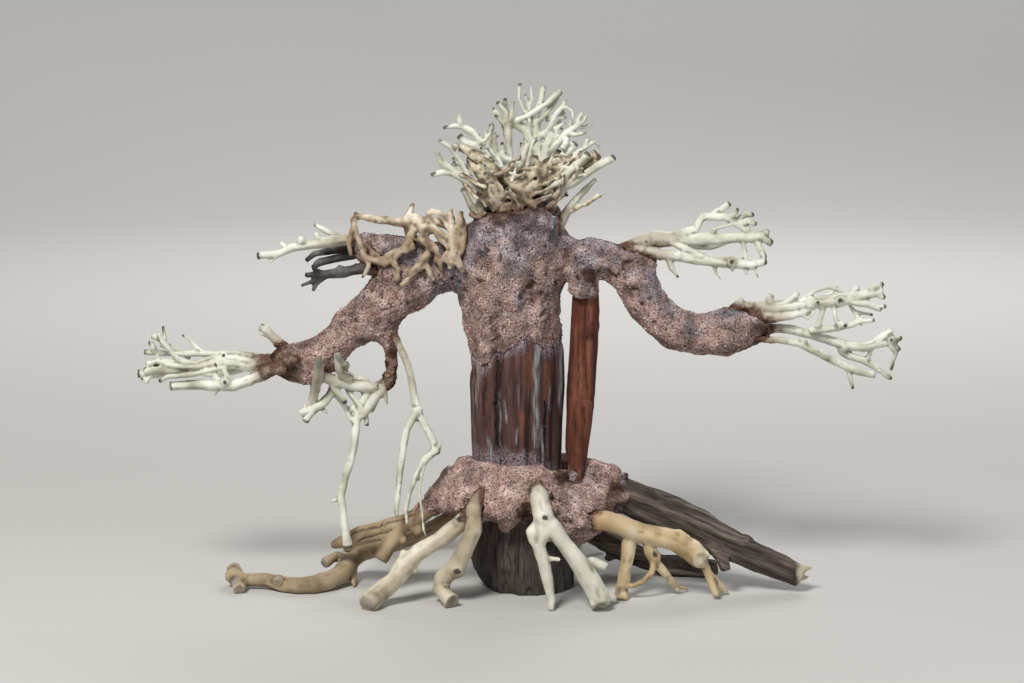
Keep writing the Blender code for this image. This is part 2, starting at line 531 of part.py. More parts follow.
def ring_spray(tree):
    sticks = [
        [(-99.5, 120, -2, 2.8), (-99.5, 114.5, -2, 2.9), (-99.5, 108.5, -3, 3.0), (-101, 101.5, -4, 2.7),
         (-102.5, 92.5, -4, 2.5), (-104, 89, -4, 1.8)],
        [(-99.7, 105, -3, 2.9), (-91, 101.7, -3, 3.1), (-81.5, 99.5, -4, 2.9), (-71.5, 99, -4, 2.6),
         (-64, 100.5, -4, 2.0)],
        [(-89.5, 120, -3, 2.1), (-89.5, 114.5, -4, 2.2), (-90, 108.5, -4, 2.4), (-83.5, 104, -4, 2.2),
         (-75, 101, -4, 2.0)],
        [(-70, 99, -4, 2.2), (-66.5, 96, -5, 1.6), (-65.3, 90, -6, 0.6)],
        [(-91.5, 101, -3, 2.2), (-94, 95, -6, 2.4), (-99, 90.3, -7, 2.0), (-107, 89.3, -8, 1.6)],
        [(-98, 91, -7, 2.0), (-103, 86.3, -7, 2.3), (-108, 84.5, -7, 1.7)],
        [(-103, 86.5, -7, 2.0), (-106.5, 81.5, -7, 1.2)],
        [(-99, 89, -7, 1.5), (-95.5, 86, -9, 0.8)],
        [(-92, 100.5, -3, 2.0), (-90.5, 95, -4, 1.9), (-87, 90, -5, 1.8), (-82, 80.5, -6, 1.6)],
        [(-86, 99.5, -4, 1.6), (-85, 96, -6, 1.1), (-79, 88, -7, 0.9)],
        [(-77, 98.5, -4, 2.0), (-77, 95.5, -5, 1.5), (-76.5, 87, -6, 1.5), (-75.5, 79.5, -6, 1.2)],
        [(-71.5, 98, -4, 2.4), (-71.5, 93, -4, 2.6), (-73.5, 86.5, -5, 1.3)],
    ]
    hanging = [
        [(-82.5, 90.5, -5.5, 1.7), (-80, 86, -7, 1.8), (-81, 78, -8, 2.2), (-82, 69.5, -10, 2.1),
         (-83.5, 62, -11, 2.0), (-86, 55.5, -13, 2.0), (-88, 47.5, -14, 2.1), (-88.5, 43.5, -15, 2.2),
         (-87.5, 38, -16, 1.9), (-86.5, 28.5, -18, 2.1), (-85, 18.5, -20, 2.4)],
        [(-88.3, 43.5, -15, 1.6), (-94, 41.7, -15, 0.6)],
    ]
    tree.wood("ring_spray", "bleached", sticks + hanging, knots=[
        (-86, 109.5, -5, 2.2), (-70, 99.3, -4, 3.0), (-99.5, 103.5, -3.5, 3.5), (-82.5, 88.5, -6, 2.2),
    ])


def hanging_fork(tree):
    tree.wood("hanging_fork", "bleached", [
        [(-62, 124.5, -8, 1.9), (-59, 119, -10, 1.9), (-55.5, 111, -11, 1.9), (-53.5, 103, -13, 2.0),
         (-51.5, 93.5, -15, 2.2), (-50.5, 86, -17, 2.5)],
        [(-50.5, 87, -17, 2.4), (-56, 77, -19, 2.1), (-57.5, 67, -20, 2.0), (-59, 56.5, -21, 1.8),
         (-60, 46.5, -22, 1.7), (-61, 39, -23, 1.6), (-60.5, 34, -24, 1.0)],
        [(-50.5, 87, -17, 2.4), (-45, 77, -19, 2.0), (-42, 71, -21, 2.1), (-41.5, 67, -22, 2.6),
         (-45, 64, -22, 2.0), (-47.5, 61, -22, 1.8), (-51, 54, -23, 1.4), (-54, 46.5, -24, 1.2),
         (-56, 37.5, -25, 1.0), (-55.5, 29, -26, 0.6)],
        [(-42, 69, -22, 1.8), (-38.5, 69.7, -22, 1.2)],
        [(-47, 61.5, -22, 1.3), (-48.5, 54, -24, 1.0), (-49.5, 46.5, -25, 0.9), (-48, 37, -26, 0.8),
         (-47, 27, -27, 0.7), (-44, 18, -27, 0.5)],
    ], knots=[(-41.3, 67.3, -22, 3.1), (-50.5, 87, -17, 3.3)], beside=["ring_spray"])


# Twigs on the right shoulder and the right arm

def right_shoulder_spray(tree):
    tree.wood("right_shoulder_spray", "bleached", [
        [(50, 166, -2, 3.2), (56, 169, -2, 3.8), (68.5, 173, -2, 4.4), (81.5, 172.9, -2, 3.5), (100, 173.2, -3, 2.8),
         (113.5, 173.5, -4, 2.7), (122, 174.5, -5, 2.7), (127, 170.5, -5, 1.8)],
        [(80, 174.5, -2, 2.8), (89, 178.5, -1, 2.5), (92, 184, 0, 2.4), (98.5, 184.3, 0, 2.3), (103.5, 184, 0, 2.2),
         (108, 182, 0, 2.0), (112, 179, -1, 1.9), (116, 175, -3, 1.9)],
        [(96, 184, 0, 1.8), (99, 186.5, 1, 1.7), (103.5, 189, 2, 1.7), (106, 191, 2, 1.5)],
        [(105, 184, 0, 1.7), (108.5, 185.5, -2, 1.4), (110, 188.5, -3, 1.0)],
        [(108.5, 182, 0, 1.7), (113.5, 185.3, 2, 1.6), (118, 185.3, 3, 1.3)],
        [(110, 181, -1, 1.5), (115.5, 182, -3, 1.5), (119.5, 180.3, -4, 1.2)],
        [(112.5, 178.5, -1, 1.4), (116, 178.7, -2, 1.1)],
        [(97, 177, -3, 1.2), (101, 178.8, -2, 0.9), (109, 180.5, -1, 0.9)],
        [(54, 167, -6, 2.6), (61, 167.5, -7, 2.9), (70, 165.6, -8, 2.9), (81.5, 163.8, -8, 2.7), (92, 162.2, -8, 2.6),
         (100, 161.4, -8, 2.7), (107, 161.3, -8, 3.2), (116.5, 159.8, -9, 2.7), (124.2, 162.4, -9, 2.2)],
        [(112.5, 172.5, -4, 1.4), (113, 169, -6, 1.3), (114, 162, -8, 1.5)],
        [(119.5, 172.5, -5, 1.9), (120.5, 168.5, -7, 1.8), (123.5, 163.5, -9, 1.6)],
        [(76, 171.5, -4, 1.9), (83, 168.5, -6, 1.7), (94.5, 164, -8, 1.5)],
        [(75, 164.5, -8, 2.2), (77, 158, -9, 1.7), (80.3, 153.5, -10, 0.6)],
        [(97.5, 162, -8, 1.4), (99, 156, -8, 0.9), (102, 152, -9, 0.5)],
        [(106, 161, -8, 1.5), (107.5, 156.7, -9, 0.7)],
        [(113, 160.5, -9, 1.6), (114.5, 155, -10, 0.7)],
        [(117.5, 160, -9, 1.5), (120.2, 153.3, -10, 0.6)],
        [(72, 172.5, 0, 2.2), (84, 170, 6, 2.0), (97, 169, 10, 1.7), (109, 173, 13, 1.4), (118, 172, 15, 0.9)],
    ], knots=[(124, 176.3, -5, 2.2), (64, 171.2, -4, 3.9), (107, 161.3, -9, 3.4), (80, 164.5, -9, 2.8)])


def right_arm_sprays(tree):
    tree.wood("right_arm_upper_spray", "bleached", [
        [(104, 134, -4, 2.8), (110, 139.5, -5, 2.8), (117.5, 139.5, -6, 2.8), (129, 138.5, -6, 3.0),
         (138.5, 140, -6, 3.1), (146.5, 141, -6, 3.4), (155, 142, -6, 3.6), (161, 142.5, -7, 3.8),
         (169.5, 144.2, -7, 3.1), (182.5, 147, -8, 2.4)],
        [(126, 139.5, -6, 2.2), (126, 145.3, -6, 2.0)],
        [(112, 140, -5, 1.7), (111.3, 143.5, -5, 1.4)],
        [(133, 140, -6, 1.9), (140.5, 146, -7, 1.5)],
        [(141.5, 141.5, -6, 1.7), (147.5, 146.7, -4, 1.3), (155.5, 149, -3, 1.3), (160.3, 147.5, -3, 1.2),
         (163.8, 143, -3, 1.2), (168.5, 136, -5, 1.1), (172, 129.5, -6, 0.9)],
        [(164, 143, -7, 2.4), (169.5, 141, -9, 2.1), (175, 140.5, -10, 2.0), (181.8, 137.5, -10, 1.7)],
        [(177, 147, -8, 2.0), (183.5, 143.3, -9, 1.4)],
        [(176, 147.5, -8, 2.0), (182.8, 150.8, -7, 1.3)],
        [(166, 144.3, -7, 2.0), (170, 149.7, -6, 1.5)],
        [(129, 137.5, -6, 1.8), (132.5, 135.5, -7, 1.4), (140.5, 135.5, -8, 1.3), (145, 133.5, -8, 1.3),
         (148.5, 136.7, -8, 1.1)],
        [(153, 140, -6, 1.8), (151, 133, -7, 1.5), (150, 129.3, -7, 1.8)],
        [(145.5, 127, -7, 1.8), (153, 127.8, -7, 2.0), (161, 128.6, -7, 2.0), (167.5, 130.5, -7, 1.8),
         (172.5, 132.7, -7, 1.5)],
        [(116, 135, -7, 2.8), (127, 133.4, -8, 2.6), (137, 134.6, -8, 2.0), (147, 138, -7, 1.8)],
        [(158, 140, -7, 1.5), (158.5, 134, -8, 1.3), (160, 130, -7.5, 1.4)],
        [(168.5, 136.5, -5, 1.3), (177.5, 135, -4, 0.9)],
        [(168.5, 131.5, -7, 1.5), (178.5, 132.5, -8, 1.1)],
        [(172, 141, -10, 1.7), (179, 138.3, -7, 1.5), (184, 139.5, -6, 1.2)],
        [(119, 138, -4, 2.0), (130, 141, 4, 1.8), (143, 140, 9, 1.6), (155, 144, 12, 1.4), (165, 142, 15, 1.0)],
        [(154, 143.8, 12, 1.2), (160, 149, 13, 0.8)],
    ], knots=[(161, 142.5, -7, 4.3), (146.5, 141, -7, 3.8), (161.5, 130.3, -8, 2.6)])
    tree.wood("right_arm_fork", "bleached", [
        [(119, 128, -3, 2.6), (128.5, 128.5, -3, 2.6), (135.5, 128, -3, 2.5), (145, 125.5, -3, 2.5),
         (155, 122.5, -3, 2.6), (163.5, 120, -3, 2.7), (172.5, 118.7, -4, 2.8), (178, 120.5, -4, 2.9),
         (182.8, 124.2, -5, 2.3), (186.8, 127.6, -5, 1.8)],
        [(177, 120, -4, 2.7), (186.5, 122.3, -5, 2.7), (192, 123.7, -5, 1.2)],
        [(186, 122, -5, 2.3), (191, 117.3, -6, 1.0)],
        [(185, 122, -5, 2.2), (186.8, 119.5, -6, 1.6), (189, 116, -6, 1.3), (187.5, 112.3, -6, 1.2),
         (186.5, 107.3, -6, 1.0)],
        [(161, 120, -3, 2.3), (162, 117, -2, 2.3), (165.5, 114.5, -2, 2.2), (172.5, 112.5, -2, 2.0),
         (177.5, 109.5, -2, 1.8), (182, 106.5, -2, 1.5), (186.8, 103, -2, 1.2)],
        [(174.5, 112, -2, 1.4), (176, 116, -3, 1.3), (177, 119.5, -4, 1.4)],
    ], knots=[(186.5, 122.5, -5, 3.5), (163.5, 119, -3, 3.1)], beside=["right_arm_upper_spray"])
    tree.wood("right_arm_low_fork", "bleached", [
        [(117, 124.5, -9, 1.8), (125, 122.5, -10, 1.8), (132, 122.3, -11, 1.9), (140.5, 121, -12, 2.4),
         (146.5, 118, -12, 2.3), (155, 113.5, -12, 2.2), (163.5, 109.5, -12, 2.2), (169.5, 107, -12, 2.1),
         (178.8, 105, -12, 1.9)],
        [(164.5, 109, -12, 1.6), (166.5, 102, -12, 1.1), (167.5, 97.7, -12, 0.8)],
    ], knots=[(142.3, 121, -12, 2.9)], beside=["right_arm_fork", "right_arm_upper_spray"])


# Roots in the lower crust

def left_roots(tree):
    tree.wood("root_plank_left", "root_tan", [
        [(-24, 46, -14, 3.6), (-34, 42.5, -15, 3.9), (-44, 37.5, -14, 4.2), (-54, 32.5, -12, 5.0),
         (-66.5, 27.5, -9, 5.4), (-79, 24.5, -6, 4.7), (-86.5, 22, -4, 3.4), (-93.5, 20, -3, 1.5)],
        [(-59, 30, -11, 4.2), (-64, 20.5, -14, 4.0), (-69, 12.5, -17, 3.9)],
    ], knots=[(-57.5, 22.5, -14, 2.6), (-50, 27.5, -15, 3.2)], beside=["trunk_log", "hanging_fork", "ring_spray"])
    tree.wood("root_long_left", "root_tan", [
        [(-143.6, 6, 7, 4.3), (-139, 2.5, 4.8, 4.6), (-135, 2.5, 4.4, 3.9), (-127, 2.3, 4.4, 4.2),
         (-119, 1.2, 4.2, 4.3), (-110.5, -0.4, 4.0, 4.3), (-102.5, 0, 4.2, 4.5), (-94.5, 2.2, 5.0, 4.8),
         (-88.5, 5.4, 6.5, 5.0), (-84, 11, 9.0, 4.8), (-79, 15.5, 12.5, 4.3), (-66, 19, 18, 4.2),
         (-50, 25, 26, 4.2), (-34, 33, 36, 4.0), (-24, 38, 42, 3.8)],
        [(-142.5, 9.5, 9, 3.6), (-140, 3, 4.0, 4.6), (-139.5, -2.4, 2.2, 3.2)],
        [(-86, 12.5, 10, 3.2), (-91, 14.5, 12, 3.1), (-97, 10.8, 10, 2.7)],
        [(-81.5, 12, 10, 2.4), (-82.5, 3, 3.0, 1.9), (-82, -1, 0.6, 1.4)],
    ], knots=[(-119.5, 2.2, 3.6, 4.4)], place=lying, beside=["trunk_log", "root_plank_left"])


def front_roots(tree):
    tree.wood("root_front_left", "bleached", [
        [(-12, 46, -24, 4.0), (-21.5, 38, -30, 4.4), (-30, 30, -32, 4.5), (-39, 22.5, -33, 4.2),
         (-49, 16.5, -33, 4.4), (-56.5, 10, -34, 5.2), (-61.5, 2.5, -35, 5.2), (-69, -3.5, -37, 5.3),
         (-75.5, -9.5, -46, 5.1)],
        [(-52, 14, -33, 3.2), (-59, 15.5, -32, 2.8)],
        [(-53, 10, -34, 2.6), (-50.5, 5.5, -35, 1.2)],
    ], knots=[(-28.5, 32.5, -33, 3.6), (-60, 4.5, -35, 5.8)],
        beside=["trunk_log", "root_plank_left", "root_long_left", "hanging_fork"])
    tree.wood("root_front_mid", "bleached", [
        [(-17, 46, -26, 3.8), (-22, 38, -34, 4.2), (-22, 27, -36, 4.5), (-26.5, 17.5, -35, 4.3),
         (-31, 9, -33, 4.5), (-38, 3, -30, 4.8), (-39, -1.5, -31, 4.4), (-32.8, -8.2, -41, 4.3)],
        [(-39, 0, -30, 3.0), (-43, -4, -32, 1.5)],
    ], knots=[(-30, 7, -33, 4.4)], beside=["trunk_log", "root_front_left", "root_plank_left"])
    tree.wood("root_front_centre", "bleached", [
        [(8, 52, -27, 4.0), (11, 43.5, -37, 4.6), (12.5, 35, -42, 5.2), (14, 27.5, -43, 4.6),
         (10, 20, -43, 3.6), (13, 12.5, -43, 3.3), (14.5, 5, -43, 3.0), (16, -2.5, -43, 2.6),
         (17, -7.5, -43.5, 2.3), (16.5, -12.8, -45.5, 1.8)],
        [(12.5, 34, -42, 4.6), (17, 29, -43, 4.6), (23.5, 20, -43, 4.3), (30, 11.5, -43, 4.5),
         (35, 3.5, -43, 5.0), (39.5, -3.5, -43, 5.4), (41.5, -10.5, -47, 5.4)],
        [(11, 31, -42, 3.6), (7.5, 26.5, -43, 3.8), (9, 21.5, -43, 3.3)],
        [(41, -6, -42, 3.4), (48, -6.7, -33, 1.8)],
        [(32, 9.5, -43, 3.0), (37, 12, -42, 2.2), (44.5, 9, -44, 1.6)],
        [(14, 13.5, -43, 1.8), (21.5, 12.8, -46, 1.1)],
    ], beside=["trunk_log", "root_front_mid"])


def right_roots(tree):
    tree.wood("root_right", "root_yellow", [
        [(24, 36, -20, 4.2), (35, 32.5, -26, 4.8), (43.5, 32.4, -27, 5.1), (53.5, 29.3, -27, 5.1), (61, 26, -26, 5.2),
         (68.5, 25, -25, 5.2), (78.5, 22, -25, 5.5), (86, 17.5, -25, 5.5), (92.5, 11.5, -25, 5.2)],
        [(56.5, 26, -26, 4.0), (55, 15, -26, 3.8), (53.5, 7.5, -25, 3.4), (52, -2.5, -24, 3.3), (51.8, -7.5, -28, 3.4)],
        [(64.5, 24, -25, 3.8), (66, 16.5, -25, 3.3), (68.5, 11.5, -24, 2.5), (73.5, 6, -22, 2.1), (78.5, 0, -18, 1.9),
         (80, -3, -17, 1.7)],
        [(79, -1, -17, 1.6), (85, -2.2, -13, 1.3)],
        [(92, 12, -25, 3.0), (95, 5.5, -25, 2.4), (99.3, -5.5, -26, 1.8)],
        [(94.5, 6.5, -25, 2.2), (103.8, -3.3, -18, 1.7)],
        [(68, 13.5, -25.5, 1.7), (67, 6.5, -26, 1.5), (62.5, 1.5, -26, 1.3), (57.5, -0.5, -26, 1.2), (52.8, 0, -26, 1.4)],
    ], knots=[(68.5, 14.5, -24.5, 3.4), (80.5, 22, -25, 6.1)], beside=["trunk_log", "root_front_centre"])
    tree.wood("root_dark_right", "dark_bark", [
        [(26, 55, -4, 6.5), (43.5, 49, -4, 8.2), (61, 41.5, -5, 9.2), (76, 35.8, -6, 9.8), (91, 28.3, -8, 9.6),
         (106, 20, -10, 8.4), (121, 13.2, -11, 7.0), (133.5, 8.2, -12, 6.3), (141.5, 4.2, -12, 5.4)],
        [(51, 50, -5, 3.4), (54.5, 55.5, -6, 1.2)],
        [(99, 19, -14, 4.4), (102.5, 11.5, -18, 3.8), (104, 7, -20, 2.8)],
        [(138, 7, -13, 3.0), (147.5, 9, -13, 0.8)],
        [(138, 3.5, -12, 3.0), (146, 4, -11, 0.8)],
    ], knots=[(114, 21.5, -12, 4.2), (70, 41.5, -7, 6.5)], beside=["trunk_log", "side_strut", "root_right"])
    tree.wood("root_dark_back", "dark_bark", [
        [(18, 40, 18, 5.0), (34, 28, 21, 5.2), (51, 18, 22, 5.4), (71, 10, 19, 5.6), (91, 9, 15, 5.4),
         (99, 8.5, 17, 4.2)],
        [(50, 17, 22, 3.4), (44, 13, 24, 2.0)],
    ], beside=["trunk_log", "root_right", "root_dark_right", "root_front_centre"])


def back_roots(tree):
    tree.wood("root_back_left", "root_tan", [
        [(-12, 50, 22, 5.0), (-24, 46, 34, 5.4), (-40, 36, 46, 5.2), (-56, 20, 56, 5.0), (-66, 9, 62, 4.8),
         (-80, 4.6, 66, 4.6), (-94, 4.0, 64, 4.0)],
        [(-58, 18, 57, 3.8), (-56, 8, 66, 3.4), (-52, 3, 73, 3.0)],
    ], knots=[(-57, 18, 57, 5.4)], place=plain, beside=["trunk_log", "root_long_left"])
    tree.wood("root_back_middle", "root_yellow", [
        [(8, 54, 24, 5.0), (14, 46, 38, 5.2), (20, 32, 50, 4.8), (23, 14, 58, 4.6), (27, 4.4, 68, 4.6),
         (33, 3.6, 78, 4.0)],
        [(22, 20, 56, 3.4), (36, 10, 60, 2.8), (46, 2.4, 62, 2.4)],
    ], knots=[(22, 20, 56, 5.0)], place=plain, beside=["trunk_log", "root_dark_back"])


# The crusts

def lumpy(thing):
    """Moves the surface in and out by a fixed noise, as crust laid on by hand."""
    thing.data.update()
    normals = [vert.normal.copy() for vert in thing.data.vertices]
    for vert, normal in zip(thing.data.vertices, normals):
        place = vert.co / (CRUST_LUMP_SIZE * MM)
        vert.co += normal * CRUST_LUMP * MM * noise.noise(place)


def crust(tree, name, routes, knots, place):
    """A crust built up from thick strokes, melted together into one lumpy body."""
    strokes = new_collection(name + "_strokes", hidden=True)
    pieces = [tube(route, place, 0, strokes) for route in routes]
    pieces += [knot(spot, place, 0, strokes) for spot in knots]
    body = boolean(pieces[0], strokes_after_first(strokes, pieces[0]), "UNION", tree.parts)
    empty_out(strokes)
    melt = body.modifiers.new("melt", "REMESH")
    melt.mode = "VOXEL"
    melt.voxel_size = CRUST_GRAIN * MM
    melt.use_smooth_shade = True
    soften = body.modifiers.new("soften", "SMOOTH")
    soften.factor = 0.5
    soften.iterations = 3
    body = baked(body, tree.parts)
    lumpy(body)
    return thinned(body, CRUST_FACES_KEPT, tree.parts)


def strokes_after_first(strokes, first):
    strokes.objects.unlink(first)
    bpy.context.scene.collection.objects.link(first)
    return strokes


def upper_crust(tree):
    neck = [
        [(0, 117, 0, 25.4), (-1, 132, 0, 26.0), (-3, 145, 0, 26.3), (-4.5, 160, 0, 27), (-3.5, 172, 0, 27.8),
         (-2.8, 181, 0, 26.8), (-3, 186, 0, 23.8), (-4, 188.5, 0, 18)],
    ]
    left = [
        [(-14, 164, 0, 17), (-31.5, 161, -1, 12.5), (-44, 154, -2, 11.5), (-59, 145.8, -2, 11.9),
         (-72, 137.8, -3, 12), (-82, 129.6, -3, 11), (-91, 121.4, -3, 10.2), (-99, 114.4, -3, 11),
         (-106.5, 111, -4, 12.2), (-114, 111.8, -4, 9.8), (-120, 112, -5, 8.2), (-125.5, 111.6, -5, 6.8)],
        [(-20, 168, 0, 13), (-39, 163.8, -2, 9.2), (-50, 164.8, -3, 8.8), (-60, 166.8, -3, 8.6),
         (-71.5, 167.5, -3, 9), (-81.5, 168.5, -3, 7.7)],
        [(-30, 160, 0, 11), (-56, 156, -3, 11.5), (-72, 156, -4, 9)],
        [(-68, 130.5, -4, 8.5), (-64.5, 124, -5, 6.5), (-64, 117.5, -5, 5.2), (-63.6, 110, -5, 4.9), (-64, 100, -4, 4.7)],
    ]
    right = [
        [(6, 164, 0, 17), (26, 164, -1, 9.6), (36, 164.6, -1, 9.6), (48.5, 161.3, -2, 10.4), (57.5, 156, -3, 10.9),
         (60.8, 149, -4, 10.9), (64.3, 140.5, -4, 10.9), (70, 132.8, -4, 10.9), (78, 127.6, -4, 10.9),
         (87, 125.4, -4, 10.9), (96, 125.3, -4, 11.6), (104.5, 127, -5, 13), (111, 128, -5, 12),
         (118, 128.5, -5, 9.2), (125.5, 127.5, -4, 6.8)],
        [(52, 162, -3, 9), (62, 165, -3, 8), (69, 166, -3, 6.4)],
    ]
    knots = [(-6, 179.5, -4, 12), (33, 161, -4, 9), (30.5, 158, -5, 7.5)]
    body = crust(tree, "upper_crust", neck + left + right, knots, seen)
    notch = fused("notch", [
        [(5, 134, -28, 3), (3, 126, -30, 6), (2, 116, -30, 9), (2, 104, -30, 12)],
        [(-17, 106, -28, 6), (-17, 114, -28, 3)],
        [(24, 103, -24, 8), (21, 113, -26, 4)],
        [(-2, 104, 30, 12), (-4, 120, 30, 6)],
        [(46, 155, -16, 3.2), (49, 160, -17, 3.4)],
    ], [], seen, 0, tree.sockets)
    tree.socket(notch, "bare_notch")
    body = tree.cut(
        body, "bare_notch", "trunk_log", "side_strut", "crown_left_twigs", "crown_tall_twigs",
        "crown_right_twigs", "crown_back_twigs", "left_shoulder_white_twig", "left_shoulder_grey_twigs",
        "left_shoulder_low_twigs", "tan_root_tangle", "left_arm_spray", "left_arm_stub", "ring_spray",
        "hanging_fork", "right_shoulder_spray", "right_arm_upper_spray", "right_arm_fork",
        "right_arm_low_fork",
    )
    tree.keep(body, "upper_crust", "crust")


def root_crust(tree):
    rim = [
        (-25, 58, -4, 7.5), (-21, 56, -17, 7.5), (-3, 53, -25, 8), (13, 53, -24, 7.5), (25, 49, -15, 7.5),
        (35, 54.5, 2, 8), (26, 58, 17, 8), (0, 59, 24, 8), (-19, 58, 16, 8), (-26, 58, 2, 7.5), (-25, 58, -6, 7.5),
    ]
    skirt = [
        (-34.5, 45, -6, 8.6), (-28, 41.5, -20, 9.2), (-13, 40, -28, 9.5), (3, 41, -29, 10), (18, 40, -28, 10),
        (31, 37, -22, 10), (42, 40, -8, 10.5), (44, 44, 5, 10.5), (34, 44, 20, 11), (8, 46, 28, 11),
        (-18, 46, 24, 11), (-33, 45, 9, 9.6), (-34.5, 45, -8, 8.6),
    ]
    collars = [
        [(-28, 47, -14, 7.5), (-39, 41, -14.5, 6.6), (-46, 37, -14, 5.2)],
        [(-12, 40, -26, 8), (-22, 37, -30, 6.6), (-28, 32, -31.5, 5.4)],
        [(2, 52, -26, 8), (9, 47, -32, 7), (11, 43, -36, 6)],
        [(22, 40, -20, 9), (34, 33.5, -25, 7.2), (42, 32, -26, 6.0)],
        [(30, 56, -4, 12), (42, 51, -4, 11.4), (50, 47, -4, 10)],
        [(20, 36, -24, 9), (31, 28, -22, 8.5), (33, 30, -14, 9)],
        [(-14, 46, 22, 10), (-24, 44, 33, 7.5)],
        [(8, 50, 24, 10), (13, 44, 36, 7.5)],
    ]
    body = crust(tree, "root_crust", [skirt, rim] + collars, [(38, 53.5, -4, 8.4), (-34.5, 51, -9, 7.8)], seen)
    hollow = fused("hollow", [[(3, 34, -44, 3), (2.5, 40, -40, 4), (3, 47, -40, 3)]], [], seen, 0, tree.sockets)
    tree.socket(hollow, "hollow")
    body = tree.cut(
        body, "hollow", "trunk_log", "side_strut", "hanging_fork", "root_plank_left", "root_long_left",
        "root_front_left", "root_front_mid", "root_front_centre", "root_right", "root_dark_right",
        "root_dark_back", "root_back_left", "root_back_middle",
    )
    tree.keep(body, "root_crust", "crust")


def stand_flat(tree):
    """The roots are sawn level with the log's base, so that the tree stands."""
    width, depth, height = FLOOR_SLAB
    work = bmesh.new()
    bmesh.ops.create_cube(work, size=1)
    bmesh.ops.scale(work, vec=(width * MM, depth * MM, height * MM), verts=work.verts)
    bmesh.ops.translate(work, vec=(0, 0, -height * MM / 2), verts=work.verts)
    mesh = bpy.data.meshes.new("floor")
    work.to_mesh(mesh)
    work.free()
    tree.socket(link(bpy.data.objects.new("floor", mesh), tree.sockets), "floor")
    for thing in list(tree.parts.objects):
        lowest = min(vert.co.z for vert in thing.data.vertices)
        if thing.name.startswith("root_") and lowest < 0:
            name, finish = thing.name, thing.data.materials[0].name
            tree.keep(tree.cut(thing, "floor"), name, finish)


def build():
    clear_scene()
    tree = Tree()
    trunk_log(tree)
    side_strut(tree)
    crown_left(tree)
    crown_tall(tree)
    crown_right(tree)
    crown_back(tree)
    left_shoulder(tree)
    tan_root_tangle(tree)
    left_arm(tree)
    ring_spray(tree)
    hanging_fork(tree)
    right_shoulder_spray(tree)
    right_arm_sprays(tree)
    left_roots(tree)
    front_roots(tree)
    right_roots(tree)
    back_roots(tree)
    upper_crust(tree)
    root_crust(tree)
    stand_flat(tree)


build()
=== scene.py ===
# Driftwood tree for an aquarium: a log under a sawdust crust, with bleached twigs and gnarled roots
import math
from functools import partial

import bmesh
import bpy
import numpy as np
from mathutils import Euler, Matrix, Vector
from mathutils.bvhtree import BVHTree


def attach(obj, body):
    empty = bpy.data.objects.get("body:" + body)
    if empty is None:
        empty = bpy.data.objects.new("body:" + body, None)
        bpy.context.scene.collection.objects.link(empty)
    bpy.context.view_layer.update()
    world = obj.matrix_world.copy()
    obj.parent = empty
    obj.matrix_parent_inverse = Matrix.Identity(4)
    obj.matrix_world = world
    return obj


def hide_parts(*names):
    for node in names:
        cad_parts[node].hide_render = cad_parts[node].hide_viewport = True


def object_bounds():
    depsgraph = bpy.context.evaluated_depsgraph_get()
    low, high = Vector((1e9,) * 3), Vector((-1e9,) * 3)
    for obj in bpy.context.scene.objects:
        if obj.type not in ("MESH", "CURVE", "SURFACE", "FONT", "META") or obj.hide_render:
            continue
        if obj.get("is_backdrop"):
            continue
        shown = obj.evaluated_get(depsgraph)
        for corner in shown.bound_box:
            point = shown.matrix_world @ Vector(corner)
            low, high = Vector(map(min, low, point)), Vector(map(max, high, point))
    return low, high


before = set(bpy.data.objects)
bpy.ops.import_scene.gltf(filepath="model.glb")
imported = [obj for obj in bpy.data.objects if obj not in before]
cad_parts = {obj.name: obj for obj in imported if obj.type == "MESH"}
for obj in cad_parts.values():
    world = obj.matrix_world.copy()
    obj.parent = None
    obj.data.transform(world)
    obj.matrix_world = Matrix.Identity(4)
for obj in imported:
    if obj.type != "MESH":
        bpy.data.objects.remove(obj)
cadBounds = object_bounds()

mm = 0.001        # lengths below are in millimetres unless a note says metres


# Colours and nodes
def linear(code):
    # an sRGB hex colour as linear red, green, blue and a full alpha
    parts = [int(code[k:k + 2], 16) / 255 for k in (1, 3, 5)]
    return [p / 12.92 if p < 0.04045 else ((p + 0.055) / 1.055) ** 2.4 for p in parts] + [1]


def fillInputs(node, inputs):
    # an input is given by name or number, as a value, a hex colour or another node's socket
    for key, value in inputs.items():
        if isinstance(value, bpy.types.NodeSocket):
            node.id_data.links.new(value, node.inputs[key])
        else:
            node.inputs[key].default_value = linear(value) if str(value).startswith("#") else value


def addNode(tree, kind, inputs=None, stops=None, out=0, **settings):
    # adds a node, whose kind may leave out ShaderNode, and gives one of its output sockets back
    node = tree.nodes.new(kind if "Node" in kind else "ShaderNode" + kind)
    for key, value in settings.items():
        setattr(node, key, value)
    fillInputs(node, inputs or {})
    for place, (position, value) in enumerate(stops or []):
        if place > 1:
            node.color_ramp.elements.new(position)
        element = node.color_ramp.elements[place]
        element.position = position
        element.color = linear(value) if str(value).startswith("#") else (value, value, value, 1)
    return node.outputs[out] if node.outputs else None


def startMaterial(name, attributes):
    # a new material, what adds nodes to it, and sockets for Object coordinates and the piece's own attributes
    material = bpy.data.materials.new(name)
    material.use_nodes = True
    add = partial(addNode, material.node_tree)
    place = add("TexCoord", out="Object")
    return material, add, place, [add("Attribute", out="Fac", attribute_name=each) for each in attributes]


def finishMaterial(material, colour, normal, roughness, specular):
    fillInputs(material.node_tree.nodes["Principled BSDF"], {
        "Base Color": colour, "Normal": normal, "Roughness": roughness, "Specular IOR Level": specular})
    return material


# A Mix node that blends colours has the second one's share as input 0, and the two colours as 6 and 7. A Map
# Range node has its value as input 0, the range that it takes as 1 and 2, and what it gives as 3 and 4.
asColour = {"out": 2, "data_type": "RGBA"}
asProduct = {**asColour, "blend_type": "MULTIPLY"}


